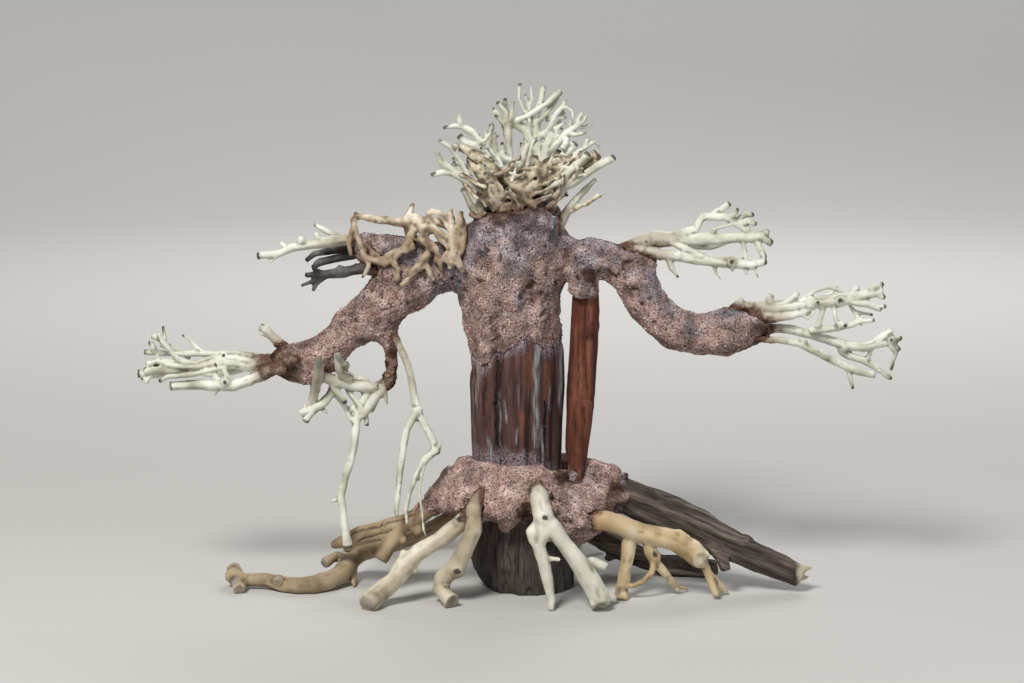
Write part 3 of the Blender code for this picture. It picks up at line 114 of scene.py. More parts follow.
# Places read from the front view, right of and above the foot of the log
view = {
    "eyeDistance": 1100.0,
    "eyeTilt": math.radians(10),
    "aim": (-3.0, 0.0, 126.0),
    "middle": (-3.0, 121.75),  # across and up at the middle of the view
    "width": 512.0,  # what the camera sees from side to side at the aim
    "sensor": 36.0,
}


def seen(across, up, depth):
    # the point at that depth behind the log's axis which the camera sees there, in metres
    rise = up - view["middle"][1]
    level = view["eyeDistance"] * math.cos(view["eyeTilt"])
    drop = view["eyeDistance"] * math.sin(view["eyeTilt"])
    reach = (level + depth) / (level + rise * math.sin(view["eyeTilt"]))
    x = view["aim"][0] + reach * (across - view["middle"][0])
    z = view["aim"][2] + drop + reach * (rise * math.cos(view["eyeTilt"]) - drop)
    return np.array((x, depth, z)) * mm


nodeTrees = {}
for name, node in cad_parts.items():
    faces = [p.vertices for p in node.data.polygons]
    nodeTrees[name] = BVHTree.FromPolygons([v.co for v in node.data.vertices], faces)


def facing(node, across, up):
    # where the front view's line at that place first meets the CAD node
    near, far = Vector(seen(across, up, -120)), Vector(seen(across, up, 120))
    return nodeTrees[node].ray_cast(near, (far - near).normalized())[0]


# Seeded noise on arrays of points
def hashed(cells, seed):
    # a repeatable number from 0 to 1 for each whole-number cell
    code = (cells[..., 0] * 73856093) ^ (cells[..., 1] * 19349663) ^ (cells[..., 2] * 83492791)
    code = (code ^ (seed * 668265263)) & 0xffffffff
    for shift, factor in ((15, 0x2c1b3c6d), (12, 0x297a2d39), (15, 1)):
        code = ((code ^ (code >> shift)) * factor) & 0xffffffff
    return code / 0xffffffff


def cloud(points, size, seed):
    # smooth noise from -1 to 1 with blobs of that size, or of three sizes along x, y and z
    spots = points / (np.array(size) * mm)
    low = np.floor(spots).astype(np.int64)
    part = spots - low
    part = part * part * (3 - 2 * part)
    total = np.zeros(len(points))
    for corner in np.ndindex(2, 2, 2):
        weight = np.prod(np.where(corner, part, 1 - part), axis=1)
        total += weight * hashed(low + corner, seed)
    return 2 * total - 1


def grains(points, size, seed):
    # how far the nearest scattered seed is, in cells of that size: 0 at the middle of a grain
    spots = points / (size * mm)
    low = np.floor(spots).astype(np.int64)
    nearest = np.full(len(points), 9.0)
    for step in np.ndindex(3, 3, 3):
        cell = low + step - 1
        centre = cell + np.stack([hashed(cell, seed + k) for k in range(3)], axis=1)
        nearest = np.minimum(nearest, ((spots - centre) ** 2).sum(axis=1))
    return np.sqrt(nearest)


def ramp(values, low, high):
    # 0 below low, 1 above high, and a soft step between
    part = np.clip((values - low) / (high - low), 0, 1)
    return part * part * (3 - 2 * part)


# Skins: the points of a remeshed piece and what its relief and colours are worked out from
class Skin:
    inward = 0.55  # how far a round of smoothing moves each point towards its neighbours' middle
    outward = 0.58  # and how far it then moves away again

    def __init__(self, obj):
        self.obj = obj
        self.mesh = obj.data
        self.count = len(self.mesh.vertices)
        flat = np.empty(self.count * 3)
        self.mesh.vertices.foreach_get("co", flat)
        self.points = flat.reshape(-1, 3)
        corners = np.empty(len(self.mesh.loops), np.int64)
        self.mesh.loops.foreach_get("vertex_index", corners)
        self.quads = corners.reshape(-1, 4)
        sides = ((0, 1), (1, 2), (2, 3), (3, 0), (0, 2), (1, 3))
        pairs = np.concatenate([self.quads[:, side] for side in sides])
        self.start, self.end = np.concatenate([pairs, pairs[:, ::-1]]).T
        self.even = np.ones(len(self.start))
        self.evenSum = np.bincount(self.start, self.even, self.count)

    def mean(self, values, weights=None, total=None):
        # each point's average over its neighbours
        weights = self.even if weights is None else weights
        total = self.evenSum if total is None else total
        columns = [np.bincount(self.start, v[self.end] * weights, self.count) / total
                   for v in np.atleast_2d(values.T)]
        return np.stack(columns, axis=1).reshape(values.shape)

    def spread(self, values, rounds):
        for _ in range(rounds):
            values = self.mean(values)
        return values

    def cloud(self, size, seed):
        return cloud(self.points, size, seed)

    def relax(self, rounds):
        # smooths out the voxel steps, and swells back by as much, so that nothing gets thinner
        for _ in range(rounds):
            self.points += self.inward * (self.mean(self.points) - self.points)
            self.points -= self.outward * (self.mean(self.points) - self.points)

    def fillet(self, rounds, amount=1.6):
        # fills the creases where sticks meet, as the wood of a fork does
        for _ in range(rounds):
            rise = ((self.mean(self.points) - self.points) * self.normals()).sum(axis=1)
            self.push(amount * self.spread(np.maximum(rise, 0), 1))

    def normals(self):
        a, b, c, d = (self.points[self.quads[:, k]] for k in range(4))
        across = np.cross(c - a, d - b)
        total = np.zeros((self.count, 3))
        for k in range(4):
            for axis in range(3):
                total[:, axis] += np.bincount(self.quads[:, k], across[:, axis], self.count)
        return total / np.maximum(np.linalg.norm(total, axis=1, keepdims=True), 1e-12)

    def fibres(self, rounds):
        # the way the wood grew: square to all the normals round about
        n = self.normals()
        products = self.spread(n[:, [0, 0, 0, 1, 1, 2]] * n[:, [0, 1, 2, 1, 2, 2]], rounds)
        matrices = products[:, [0, 1, 2, 1, 3, 4, 2, 4, 5]].reshape(-1, 3, 3)
        return np.linalg.eigh(matrices)[1][:, :, 0]

    def streaks(self, along, rounds, seed, focus=14, leak=0.0003):
        # noise that is drawn out along the fibres: focus keeps it to them, and leak lets a little across
        way = self.points[self.end] - self.points[self.start]
        way /= np.maximum(np.linalg.norm(way, axis=1, keepdims=True), 1e-9)
        weights = np.abs((way * along[self.start]).sum(axis=1)) ** focus + leak
        total = np.bincount(self.start, weights, self.count)
        values = np.random.default_rng(seed).uniform(-1, 1, self.count)
        for _ in range(rounds):
            values = self.mean(values, weights, total)
        return np.clip(values / (2 * values.std()), -1, 1)

    def height(self, near, far):
        # above 0 on a ridge and below 0 in a hollow, as a share of the usual relief
        n = self.normals()
        rise = ((self.points - self.spread(self.points, near)) * n).sum(axis=1)
        rise -= self.spread(rise, far)
        return np.clip(rise / (2 * rise.std() + 1e-9), -1, 1)

    def tips(self, base, hops):
        # 1 at the ends of the limbs: the spots that are farther from the base than all round about
        reach = np.linalg.norm(self.points - base, axis=1)
        top = reach
        for _ in range(hops):
            wider = top.copy()
            np.maximum.at(wider, self.start, top[self.end])
            top = wider
        return 1 - ramp((top - reach) / mm, 0.9, 2.0)

    def push(self, distance):
        # moves each point outwards by its distance in metres
        self.points += self.normals() * distance[:, None]

    def keep(self, **attributes):
        # writes the points, none of them under the floor, and the named attributes back to the mesh
        self.points[:, 2] = np.maximum(self.points[:, 2], 0)
        self.mesh.vertices.foreach_set("co", self.points.ravel())
        for name, values in attributes.items():
            layer = self.mesh.attributes.new(name, "FLOAT", "POINT")
            layer.data.foreach_set("value", values.astype(np.float32))
        self.mesh.update()


# Wood shapes
def addObject(name, mesh):
    obj = bpy.data.objects.new(name, mesh)
    bpy.context.scene.collection.objects.link(obj)
    return obj


def takeMesh(obj):
    # the evaluated shape as a plain mesh in the place of the object's own
    graph = bpy.context.evaluated_depsgraph_get()
    mesh = bpy.data.meshes.new_from_object(obj.evaluated_get(graph))
    obj.modifiers.clear()
    obj.data = mesh
    return obj


def bend(route, step):
    # a smooth line through the route's rows, with a row about every step
    rows = np.array([route[0], *route, route[-1]], float)
    line = []
    for before, low, high, after in zip(rows, rows[1:], rows[2:], rows[3:]):
        count = max(2, int(np.linalg.norm(high[:3] - low[:3]) / step))
        for part in np.arange(count) / count:
            line.append(0.5 * (2 * low + (high - before) * part
                               + (2 * before - 5 * low + 4 * high - after) * part ** 2
                               + (3 * low - before - 3 * high + after) * part ** 3))
    return np.array(line + [rows[-1]])


stick = {"step": 1.5 * mm, "sides": 10, "thinnest": 0.3 * mm}  # metres


def addStick(shape, route, flat=1.0):
    # a closed stick along rows of x, y, z and radius in metres; flat squeezes it from front to back
    rows = bend(route, stick["step"])
    ways = np.gradient(rows[:, :3], axis=0)
    ways /= np.linalg.norm(ways, axis=1, keepdims=True)
    face = np.array((0, 1, 0)) if flat < 1 else np.eye(3)[np.argmin(np.abs(ways).max(axis=0))]
    turns = [2 * math.pi * k / stick["sides"] for k in range(stick["sides"])]
    rings = []
    for row, way in zip(rows, ways):
        side = np.cross(way, face)
        side /= np.linalg.norm(side)
        out = np.cross(side, way)
        radius = max(row[3], stick["thinnest"])
        rim = [row[:3] + radius * (math.cos(a) * side + flat * math.sin(a) * out) for a in turns]
        rings.append([shape.verts.new(place) for place in rim])
    for low, high in zip(rings, rings[1:]):
        for k in range(stick["sides"]):
            shape.faces.new((low[k - 1], low[k], high[k], high[k - 1]))
    shape.faces.new(rings[0])
    shape.faces.new(rings[-1])


def seenRoute(rows):
    # rows of across, up, depth and radius in millimetres, as places in metres
    return [(*seen(*row[:3]), row[3] * mm) for row in rows]


antlerForm = {
    "step": 4, "bend": 0.22, "thinnest": 0.7,
    "taper": (0.88, 1.0),  # what is left of the radius after each step
    "stubShare": 0.4,  # how many of the bends have a side stub
    "stub": {"bend": 0.8, "reach": (2.5, 6), "radii": (0.8, 0.6)},
    "fork": {"bend": 0.45, "reach": (3, 6), "radii": (0.9, 0.75)},
}


def offshoot(draw, place, way, radius, form):
    # a straight stub that leaves the twig there, as a route
    side = way + draw.normal(0, form["bend"], 3)
    side /= np.linalg.norm(side)
    reach = draw.uniform(*form["reach"]) * mm
    return [(*place, radius * form["radii"][0]), (*(place + side * reach), radius * form["radii"][1])]


def antler(draw, place, way, length, radius):
    # a crooked twig with side stubs and a forked, blunt end, as a list of routes in metres
    step = antlerForm["step"] * mm
    routes = []
    rows = [(*place, radius)]
    for number in range(max(2, int(length / step))):
        way = way + draw.normal(0, antlerForm["bend"], 3)
        way /= np.linalg.norm(way)
        place = place + way * step
        radius = max(radius * draw.uniform(*antlerForm["taper"]), antlerForm["thinnest"] * mm)
        rows.append((*place, radius))
        if number and draw.random() < antlerForm["stubShare"]:
            routes.append(offshoot(draw, place, way, radius, antlerForm["stub"]))
    for _ in range(2):
        routes.append(offshoot(draw, place, way, radius, antlerForm["fork"]))
    return [rows] + routes


def melted(name, settings):
    # the CAD node, if there is one, and the added sticks, run together into one fine skin
    shape = bmesh.new()
    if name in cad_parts:
        shape.from_mesh(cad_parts[name].data)
    for rows in settings.get("sticks", []):
        addStick(shape, seenRoute(rows))
    for rows in settings.get("plates", []):
        addStick(shape, seenRoute(rows), flat=0.28)
    for across, up, radius in settings.get("eyes", []):  # a knot stands a little proud of the wood
        spot = facing(name, across, up)
        if spot:
            addStick(shape, [(*(spot + Vector((0, 2, 0)) * mm), radius * mm),
                             (*(spot - Vector((0, 0.8, 0)) * mm), radius * 0.85 * mm)])
    draw = np.random.default_rng(settings["seed"])
    for across, up, depth, rise, length, radius in settings.get("antlers", []):
        place = seen(across, up, depth)
        way = place - seen(across - math.cos(rise), up - math.sin(rise), depth)
        for rows in antler(draw, place, way / np.linalg.norm(way), length * mm, radius * mm):
            addStick(shape, rows)
    bmesh.ops.remove_doubles(shape, verts=shape.verts, dist=1e-6)
    tilt = Euler((0.35, 0.6, 0.5)).to_matrix()  # so that no flat face lies along the voxels
    bmesh.ops.rotate(shape, verts=shape.verts, matrix=tilt)
    mesh = bpy.data.meshes.new(name)
    shape.to_mesh(mesh)
    shape.free()
    obj = addObject(name, mesh)
    remesh = obj.modifiers.new("skin", "REMESH")
    remesh.mode = "VOXEL"
    remesh.voxel_size = settings["voxel"] * mm
    remesh.use_smooth_shade = True
    skin = Skin(takeMesh(obj))
    skin.points = skin.points @ np.array(tilt)
    return skin


def grooves(skin, node, settings):
    # 1 along the cracks that run from one place on the front to another, and 0 elsewhere
    depth = np.zeros(skin.count)
    for across, up, endAcross, endUp, half in settings.get("cracks", []):
        first, last = facing(node, across, up), facing(node, endAcross, endUp)
        if first and last:
            first, way = np.array(first), np.array(last - first)
            part = np.clip(((skin.points - first) @ way) / (way @ way), 0, 1)
            off = skin.points - (first + part[:, None] * way)
            aside = 2 if abs(way[0]) > abs(way[2]) else 0  # no crack is quite straight
            off[:, aside] += 0.8 * mm * cloud(np.stack([part * 60 * mm] * 3, axis=1), 5, 17)
            away = np.linalg.norm(off * (1, 0.3, 1), axis=1)
            taper = 0.4 + 0.6 * np.sin(math.pi * part)
            depth = np.maximum(depth, 1 - ramp(away / (half * mm * taper), 0.5, 1.3))
    return depth


def finishPiece(skin, name, slot, material):
    skin.mesh.materials.clear()
    skin.mesh.materials.append(material)
    skin.mesh.polygons.foreach_set("use_smooth", [True] * len(skin.mesh.polygons))
    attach(skin.obj, "root")
    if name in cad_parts:
        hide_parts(name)
    print(name, sum(len(p.vertices) - 2 for p in skin.mesh.polygons), "triangles")


# Camera, floor and studio light: metres and watts
sweep = {"radius": 1.6, "rise": 1.2, "steps": 12, "sides": 96}
lights = {
    "key": {"at": (-0.5, -1.0, 1.35), "size": 0.45, "watts": 28, "colour": "#FFFCF8"},
    "fill": {"at": (1.2, -0.9, 0.7), "size": 0.9, "watts": 5.5, "colour": "#EEF3FF"},
    "rim": {"at": (0.4, 1.2, 1.2), "size": 0.8, "watts": 9, "colour": "#FFFFFF"},
    "backdrop": {"at": (0, 0.9, 1.5), "to": (0, 3.0, 0.6), "size": 1.6, "watts": 20, "colour": "#FFFFFF"},
}
surround = {"Color": "#D5D5D5", "Strength": 0.3}


def makeCamera(aim):
    away = Vector((0, -math.cos(view["eyeTilt"]), math.sin(view["eyeTilt"])))
    data = bpy.data.cameras.new("camera")
    data.sensor_width = view["sensor"]
    data.lens = view["sensor"] * view["eyeDistance"] / view["width"]
    camera = addObject("camera", data)
    camera.location = aim + away * view["eyeDistance"] * mm
    camera.rotation_euler = (-away).to_track_quat("-Z", "Y").to_euler()
    bpy.context.scene.camera = camera


def makeFloor():
    # Matte studio paper: level under the tree, and curved up far behind and around it
    cove = bmesh.new()
    bmesh.ops.create_circle(cove, cap_ends=True, segments=sweep["sides"], radius=sweep["radius"])
    edges = cove.edges[:]
    for step in range(sweep["steps"]):
        rim = bmesh.ops.extrude_edge_only(cove, edges=edges)["geom"]
        turn = (step + 1) * math.pi / 2 / sweep["steps"]
        for vert in [v for v in rim if isinstance(v, bmesh.types.BMVert)]:
            reach = sweep["radius"] + sweep["rise"] * math.sin(turn)
            flat = Vector((vert.co.x, vert.co.y, 0)).normalized() * reach
            vert.co = (flat.x, flat.y, sweep["rise"] * (1 - math.cos(turn)))
        edges = [e for e in rim if isinstance(e, bmesh.types.BMEdge)]
    mesh = bpy.data.meshes.new("floor")
    cove.to_mesh(mesh)
    cove.free()
    mesh.shade_smooth()
    paper = bpy.data.materials.new("pale studio paper")
    paper.use_nodes = True
    fillInputs(paper.node_tree.nodes["Principled BSDF"], {"Base Color": "#BFBEBB", "Roughness": 0.9})
    mesh.materials.append(paper)
    addObject("floor", mesh)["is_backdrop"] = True


def makeLights(aim):
    for name, light in lights.items():
        data = bpy.data.lights.new(name, "AREA")
        data.energy = light["watts"]
        data.size = light["size"]
        data.color = linear(light["colour"])[:3]
        lamp = addObject(name, data)
        lamp.location = light["at"]
        target = Vector(light.get("to", aim))
        lamp.rotation_euler = (target - lamp.location).to_track_quat("-Z", "Y").to_euler()
    world = bpy.data.worlds.new("studio")
    world.use_nodes = True
    fillInputs(world.node_tree.nodes["Background"], surround)
    bpy.context.scene.world = world
    bpy.context.scene.view_settings.view_transform = "Standard"


makeCamera(Vector(view["aim"]) * mm)
makeFloor()
makeLights(Vector(view["aim"]) * mm)
print("stage ready")


# Woods
def peeledWood(tones):
    # Peeled and bleached wood, sanded by tumbling: dry and matte, with faint streaks along the fibre,
    # painted shade in the hollows, dark cut ends, and red-brown sawdust where it is glued in
    material, add, place, (grain, relief, cut, collar, age, eye) = startMaterial(
        tones["name"], ("grain", "relief", "cut", "collar", "age", "eye"))
    blotch = add("TexNoise", {"Vector": place, "Scale": 1 / (tones["blotch"] * mm), "Detail": 3})
    fine = add("TexNoise", {"Vector": place, "Scale": 1 / (0.6 * mm), "Detail": 4})
    mixed = add("Math", {0: grain, 1: tones["streak"], 2: blotch}, operation="MULTIPLY_ADD")
    body = add("ValToRGB", {"Fac": mixed}, zip(tones["stops"], tones["body"]))
    # a stain and painted shade: towards the crust the wood turns browner and darker, partly a real stain and
    # partly painted shade
    stainAndShadeShare = add("Math", {0: age, 1: blotch}, operation="MULTIPLY")
    mellow = add("Mix", {0: stainAndShadeShare, 6: body, 7: tones["aged"]}, **asColour)
    speck = add("MapRange", {0: fine, 1: 0.25, 2: 0.6, 3: 0.88, 4: 1.03})
    speckled = add("VectorMath", {0: mellow, 3: speck}, operation="SCALE")
    # painted shade: where the relief is hollow, the colour is darkened towards the hollow tone
    hollow = add("MapRange", {0: relief, 1: -0.15, 2: -1.0, 3: 0, 4: 0.75})
    shaded = add("Mix", {0: hollow, 6: speckled, 7: tones["hollow"]}, **asColour)
    ringed = add("ValToRGB", {"Fac": blotch}, ((0.5, tones["cut"]), (0.72, tones["hollow"])))
    ended = add("Mix", {0: cut, 6: shaded, 7: ringed}, **asColour)
    pupil = add("ValToRGB", {"Fac": eye}, ((0.15, tones["hollow"]), (0.4, "#4F4A42"), (0.75, "#2A2622")))
    eyed = add("MapRange", {0: eye, 1: 0.08, 2: 0.3, 3: 0, 4: 1})
    knotted = add("Mix", {0: eyed, 6: ended, 7: pupil}, **asColour)
    dust = add("ValToRGB", {"Fac": fine}, ((0.3, "#2C1811"), (0.5, "#523223"), (0.7, "#836A58")))
    dusty = add("Mix", {0: collar, 6: knotted, 7: dust}, **asColour)
    ridged = add("Math", {0: grain, 1: 1.2, 2: fine}, operation="MULTIPLY_ADD")
    bump = add("Bump", {"Height": ridged, "Distance": 0.12 * mm, "Strength": 0.6})
    rough = add("MapRange", {0: mixed, 1: 0.2, 2: 0.8, 3: 0.72, 4: 0.5})
    return finishMaterial(material, colour=dusty, normal=bump, roughness=rough, specular=0.35)


twigTones = {"streak": 0.16, "stops": (0.28, 0.42, 0.56, 0.74)}
rootTones = {"streak": 0.2, "stops": (0.2, 0.42, 0.62, 0.85), "blotch": 14}
# aged is the brown towards the crust, partly a stain and partly painted shade, and hollow is the tone of the
# painted shade in the hollows
peeled = {
    "bleached": {
        **twigTones, "name": "spider wood peeled and bleached", "blotch": 12, "stops": (0.22, 0.4, 0.56, 0.8),
        "body": ("#989683", "#C0BFAD", "#D7D7C9", "#E6E6DC"), "hollow": "#66624F", "cut": "#45443E",
        "aged": "#8A765E"},
    "grey": {
        **twigTones, "name": "grey weathered spider wood", "blotch": 8,
        "body": ("#2E2C2D", "#454242", "#625E5C", "#857F7A"), "hollow": "#1E1C1D", "cut": "#2B2A2A",
        "aged": "#302B29"},
    "tan": {
        **twigTones, "name": "gnarled root ends stained tan", "blotch": 6, "streak": 0.2,
        "body": ("#6D5F4B", "#A4957F", "#CBBEA7", "#E6DFCF"), "hollow": "#46362A", "cut": "#5A4A38",
        "aged": "#86694C"},
    "stock": {
        **twigTones, "name": "knotted root stock under the crown", "blotch": 4, "streak": 0.25,
        "body": ("#54463A", "#8F806A", "#BDB198", "#DCD5C2"), "hollow": "#2A201A", "cut": "#54483C",
        "aged": "#5A3B2F"},
    "root_tan": {
        **rootTones, "name": "tan root wood sanded smooth",
        "body": ("#6A5A44", "#928064", "#AE9B7D", "#CCBCA2"), "hollow": "#413325", "cut": "#9F9686",
        "aged": "#7C6046"},
    "root_ivory": {
        **rootTones, "name": "pale root wood peeled by hand",
        "body": ("#8E836C", "#B7AC95", "#D0C8B4", "#E6E1D3"), "hollow": "#5F523E", "cut": "#A89F8E",
        "aged": "#9A866B"},
    "root_white": {
        **rootTones, "name": "pale root wood bleached white", "streak": 0.16,
        "body": ("#A09D8C", "#C8C6B6", "#DEDCCE", "#ECEBE0"), "hollow": "#6A6654", "cut": "#B4AF9E",
        "aged": "#A59E88"},
    "root_yellow": {
        **rootTones, "name": "yellow tan root wood", "blotch": 15, "streak": 0.22,
        "body": ("#84704F", "#B49D76", "#CFBC97", "#E4D9BE"), "hollow": "#574532", "cut": "#C4BAA0",
        "aged": "#957247"},
}
woods = {look: peeledWood(tones) for look, tones in peeled.items()}


def fibrousWood(tones):
    # Weathered wood with its fibres bare: fine dark and pale lines along the grain, thin cracks and hollows
    # darkened with painted shade, grey-blue streaks where the surface has silvered, and sawdust rubbed on
    # beside the crust
    material, add, place, (relief, silver, collar, cut, foot, warm) = startMaterial(
        tones["name"], ("relief", "silver", "collar", "cut", "foot", "warm"))
    along = add("Mapping", {"Vector": place, "Rotation": (0, tones["turn"], 0), "Scale": tones["stretch"]},
                vector_type="TEXTURE")
    fibre = add("TexNoise", {"Vector": along, "Scale": 1 / (1.0 * mm), "Detail": 6, "Roughness": 0.72})
    band = add("TexNoise", {"Vector": along, "Scale": 1 / (4.5 * mm), "Detail": 3})
    grit = add("TexNoise", {"Vector": place, "Scale": 1 / (0.9 * mm), "Detail": 3})
    tone = add("ValToRGB", {"Fac": band}, zip((0.3, 0.45, 0.56, 0.7), tones["body"]))
    footed = add("Mix", {0: foot, 6: tone, 7: tones["foot"]}, **asColour)
    warmed = add("Mix", {0: warm, 6: footed, 7: tones["warm"]}, **asColour)
    lines = add("ValToRGB", {"Fac": fibre}, ((0.32, 0.3), (0.46, 0.85), (0.6, 1.15), (0.72, 1.9)))
    lined = add("Mix", {0: 1.0, 6: warmed, 7: lines}, **asProduct)
    strand = add("MapRange", {0: fibre, 1: 0.36, 2: 0.56, 3: 0, 4: 1})
    silvered = add("Math", {0: silver, 1: strand}, operation="MULTIPLY")
    aged = add("Mix", {0: silvered, 6: lined, 7: tones["silver"]}, **asColour)
    patchy = add("MapRange", {0: grit, 1: 0.4, 2: 0.55, 3: 0, 4: 1})
    dusted = add("Math", {0: collar, 1: patchy}, operation="MULTIPLY")
    dusty = add("Mix", {0: dusted, 6: aged, 7: tones["dust"]}, **asColour)
    # painted shade: hollows and cracks in the relief are darkened towards the hollow tone
    hollow = add("MapRange", {0: relief, 1: -0.2, 2: -1.0, 3: 0, 4: 0.8})
    shaded = add("Mix", {0: hollow, 6: dusty, 7: tones["hollow"]}, **asColour)
    ended = add("Mix", {0: cut, 6: shaded, 7: tones["cut"]}, **asColour)
    bump = add("Bump", {"Height": fibre, "Distance": 0.35 * mm, "Strength": 0.9})
    return finishMaterial(material, colour=ended, normal=bump, roughness=0.8, specular=0.25)


darkRoots = {"dark_bark": math.radians(24), "dark_back": math.radians(8)}  # how far each slopes down
for look, slope in darkRoots.items():
    woods[look] = fibrousWood({
        "name": "dark root with its bark left on", "turn": slope, "stretch": (14, 1, 1), "dust": "#8A7F86",
        "body": ("#2E2824", "#4A413B", "#665C55", "#857B72"), "silver": "#8A827C", "hollow": "#151110",
        "cut": "#B0A793", "foot": "#4A423C", "warm": "#5A4536"})
print("wood materials ready")


# Twigs and roots
def crustDistance(points):
    # metres from each point to the nearer of the two crusts, at most 30 mm
    far = 30 * mm
    nearest = np.full(len(points), far)
    for crustNode in ("upper_crust", "root_crust"):
        found = [nodeTrees[crustNode].find_nearest(Vector(p), far)[3] for p in points]
        nearest = np.minimum(nearest, [far if d is None else d for d in found])
    return nearest


def spotDistances(skin, node, spots, depthShare=1.0):
    # for each spot on the front, how far every point is from it, in the spot's own radii
    for across, up, radius in spots:
        spot = facing(node, across, up)
        if spot:
            yield np.linalg.norm((skin.points - np.array(spot)) * (1, depthShare, 1), axis=1) / (radius * mm)


def cutEnds(skin, settings, near, along):
    # 1 where the wood was sawn or broken off, and 0 elsewhere
    if "paleEnd" in settings:
        return ramp(skin.points[:, 0] / mm + skin.cloud(2, 4), *settings["paleEnd"])
    square = np.abs((skin.spread(skin.normals(), 1) * along).sum(axis=1))
    cut = ramp(square + 0.12 * skin.cloud(1.5, settings["seed"] + 2), 0.58, 0.8)
    if "hops" in settings:
        base = skin.points[near <= near.min() + 1 * mm].mean(axis=0)
        shade = 0.3 + 0.7 * ramp(skin.cloud(7, settings["seed"] + 4), -0.5, 0.1)
        cut = np.maximum(0.5 * cut, skin.tips(base, settings["hops"]) * shade * ramp(near / mm, 4, 10))
    return cut


def dressWood(node, settings):
    # a twig piece or a root: its skin, the marks on it, its relief and its material
    seed, creep = settings["seed"], settings["collar"]
    skin = melted(node, settings)
    skin.relax(settings["relax"])
    skin.fillet(settings["joints"])
    skin.relax(5)
    along = skin.fibres(settings["reach"])
    grain = skin.streaks(along, settings["reach"] * 2, seed)
    knots = skin.cloud(settings["knotSize"], seed) + 0.5 * skin.cloud(settings["knotSize"] / 2, seed + 1)
    near = crustDistance(skin.points)
    cut = cutEnds(skin, settings, near, along)
    for away in spotDistances(skin, node, settings.get("scars", [])):
        cut = np.maximum(cut, 1 - ramp(away, 0.8, 1.0))
    eye = np.zeros(skin.count)
    rough = 0.35 * skin.cloud(0.9, seed) + 0.2 * skin.cloud(2, seed)
    for away in spotDistances(skin, node, settings.get("eyes", []), depthShare=0.6):
        eye = np.maximum(eye, 1 - np.clip(away * (1 + rough) + 0.1, 0, 1))
    patchy = skin.cloud(3, 5) + 0.6 * skin.cloud(1.1, 6)
    collar = 1 - ramp(near / mm + 0.35 * creep * patchy, 0.3 * creep, creep)
    dust = 0.9 - grains(skin.points, 1.5, 3)
    if "slope" in settings:  # bark: ridges drawn out along the root's own line
        turned = skin.points @ np.array(Euler((0, settings["slope"], 0)).to_matrix())
        grain = 0.6 * cloud(turned, (14, 1.5, 1.5), seed) + 0.5 * cloud(turned, (30, 3.5, 3.5), seed + 1)
    relief = (1 - cut) * (settings["grainDepth"] * grain + settings["knotDepth"] * knots)
    relief += settings["dustDepth"] * collar * dust - settings["eyeDepth"] * ramp(eye, 0.3, 0.8)
    relief -= settings["crackDepth"] * grooves(skin, node, settings)
    skin.push(relief * mm)
    # partly a stain and partly painted shade: 1 at the crust, fading out by the aged distance
    age = 1 - ramp(near / mm, 4, settings["aged"])
    skin.keep(grain=grain, relief=skin.height(5, 16), cut=cut, collar=collar, eye=eye, age=age)
    finishPiece(skin, node, settings["slot"], woods[settings.get("look", settings["slot"])])


# Reach is how many points the fibres are averaged over, and hops how many a tip is searched over. Collar is
# how far the glued sawdust creeps up the wood, and aged how far the brown towards the crust reaches, partly a
# stain and partly painted shade.
wood = {"slot": "bleached", "dustDepth": 0.9, "eyeDepth": 0.5, "crackDepth": 0.9}
twig = {**wood, "voxel": 0.63, "hops": 7, "relax": 10, "reach": 36, "joints": 3, "collar": 3.5, "aged": 14,
        "knotSize": 4.5, "knotDepth": 0.3, "grainDepth": 0.05}
root = {**wood, "voxel": 0.9, "relax": 12, "reach": 80, "joints": 10, "collar": 2.5, "aged": 22,
        "knotSize": 10, "knotDepth": 0.7, "grainDepth": 0.08}

# Sticks and plates are rows of across, up, depth and radius. Antlers are across, up, depth, direction in
# radians, length and radius. Eyes and scars are across, up and radius. Cracks are two ends and half a width.
crownStock = {
    "slot": "tan", "look": "stock", "voxel": 0.5, "joints": 1, "relax": 4, "reach": 24,
    "knotSize": 2.6, "knotDepth": 0.45, "grainDepth": 0.25,
    "sticks": [
        [(-29, 219, -6, 1.9), (-23, 215.5, -8, 2.6), (-14, 209.5, -9, 2.6), (-8, 204, -9, 2.4),
         (-3, 200, -12, 2)],
        [(-25, 213.5, -6, 1.4), (-21, 208, -9, 1.9), (-17, 202, -11, 2.2), (-13, 195, -11, 2.2),
         (-9, 187, -9, 2.2)],
        [(-7, 204, -11, 2.2), (-2, 199, -14, 2.8), (4, 193, -15, 2.8), (8, 188, -14, 2.4),
         (9, 183, -11, 2)],
        [(-10, 195, -9, 1.8), (-5, 189, -12, 2.3), (0, 184, -12, 2.3), (3, 179, -10, 2)],
        [(12, 199, -9, 1.7), (19, 205, -9, 2.1), (26, 211, -9, 2.3), (32, 216, -9, 1.6)],
        [(3, 203, -9, 1.8), (10, 204.5, -12, 2.1), (15, 202, -12, 1.8), (19, 197, -10, 1.4)],
        [(1, 196, -15, 1.4), (-3, 190, -16, 1.6), (-4, 184, -14, 1.5), (-1, 179, -11, 1.3)],
        [(-3, 211, -6, 1.3), (-5, 205, -8, 1.6), (-6, 199, -10, 1.8)],
        [(-16, 201, -12, 1.3), (-12, 205, -14, 1.6), (-7, 206, -14, 1.7), (-3, 209, -12, 1.1),
         (-2, 213, -11, 0.9)],
    ],
    "plates": [
        [(-18, 211, -10, 2.4), (-14, 203, -12, 3.2), (-10, 194, -12.5, 3), (-7, 187, -12, 1.8)],
        [(24, 201, -9, 2), (30, 207, -10, 3.4), (36, 212, -10, 4), (40, 216, -10, 2.8)],
        [(4, 199, -16.5, 1.8), (0, 192, -17, 2.6), (1, 185, -16, 2)],
    ],
    # crooked ends spread like a fan
    "antlers": [(-20 + 4.2 * k, 193 + 7 * math.sin(2.1 * k), -12 - 3 * (k % 2), 2.5 - 0.19 * k, 13, 1.2)
                for k in range(12)],
}
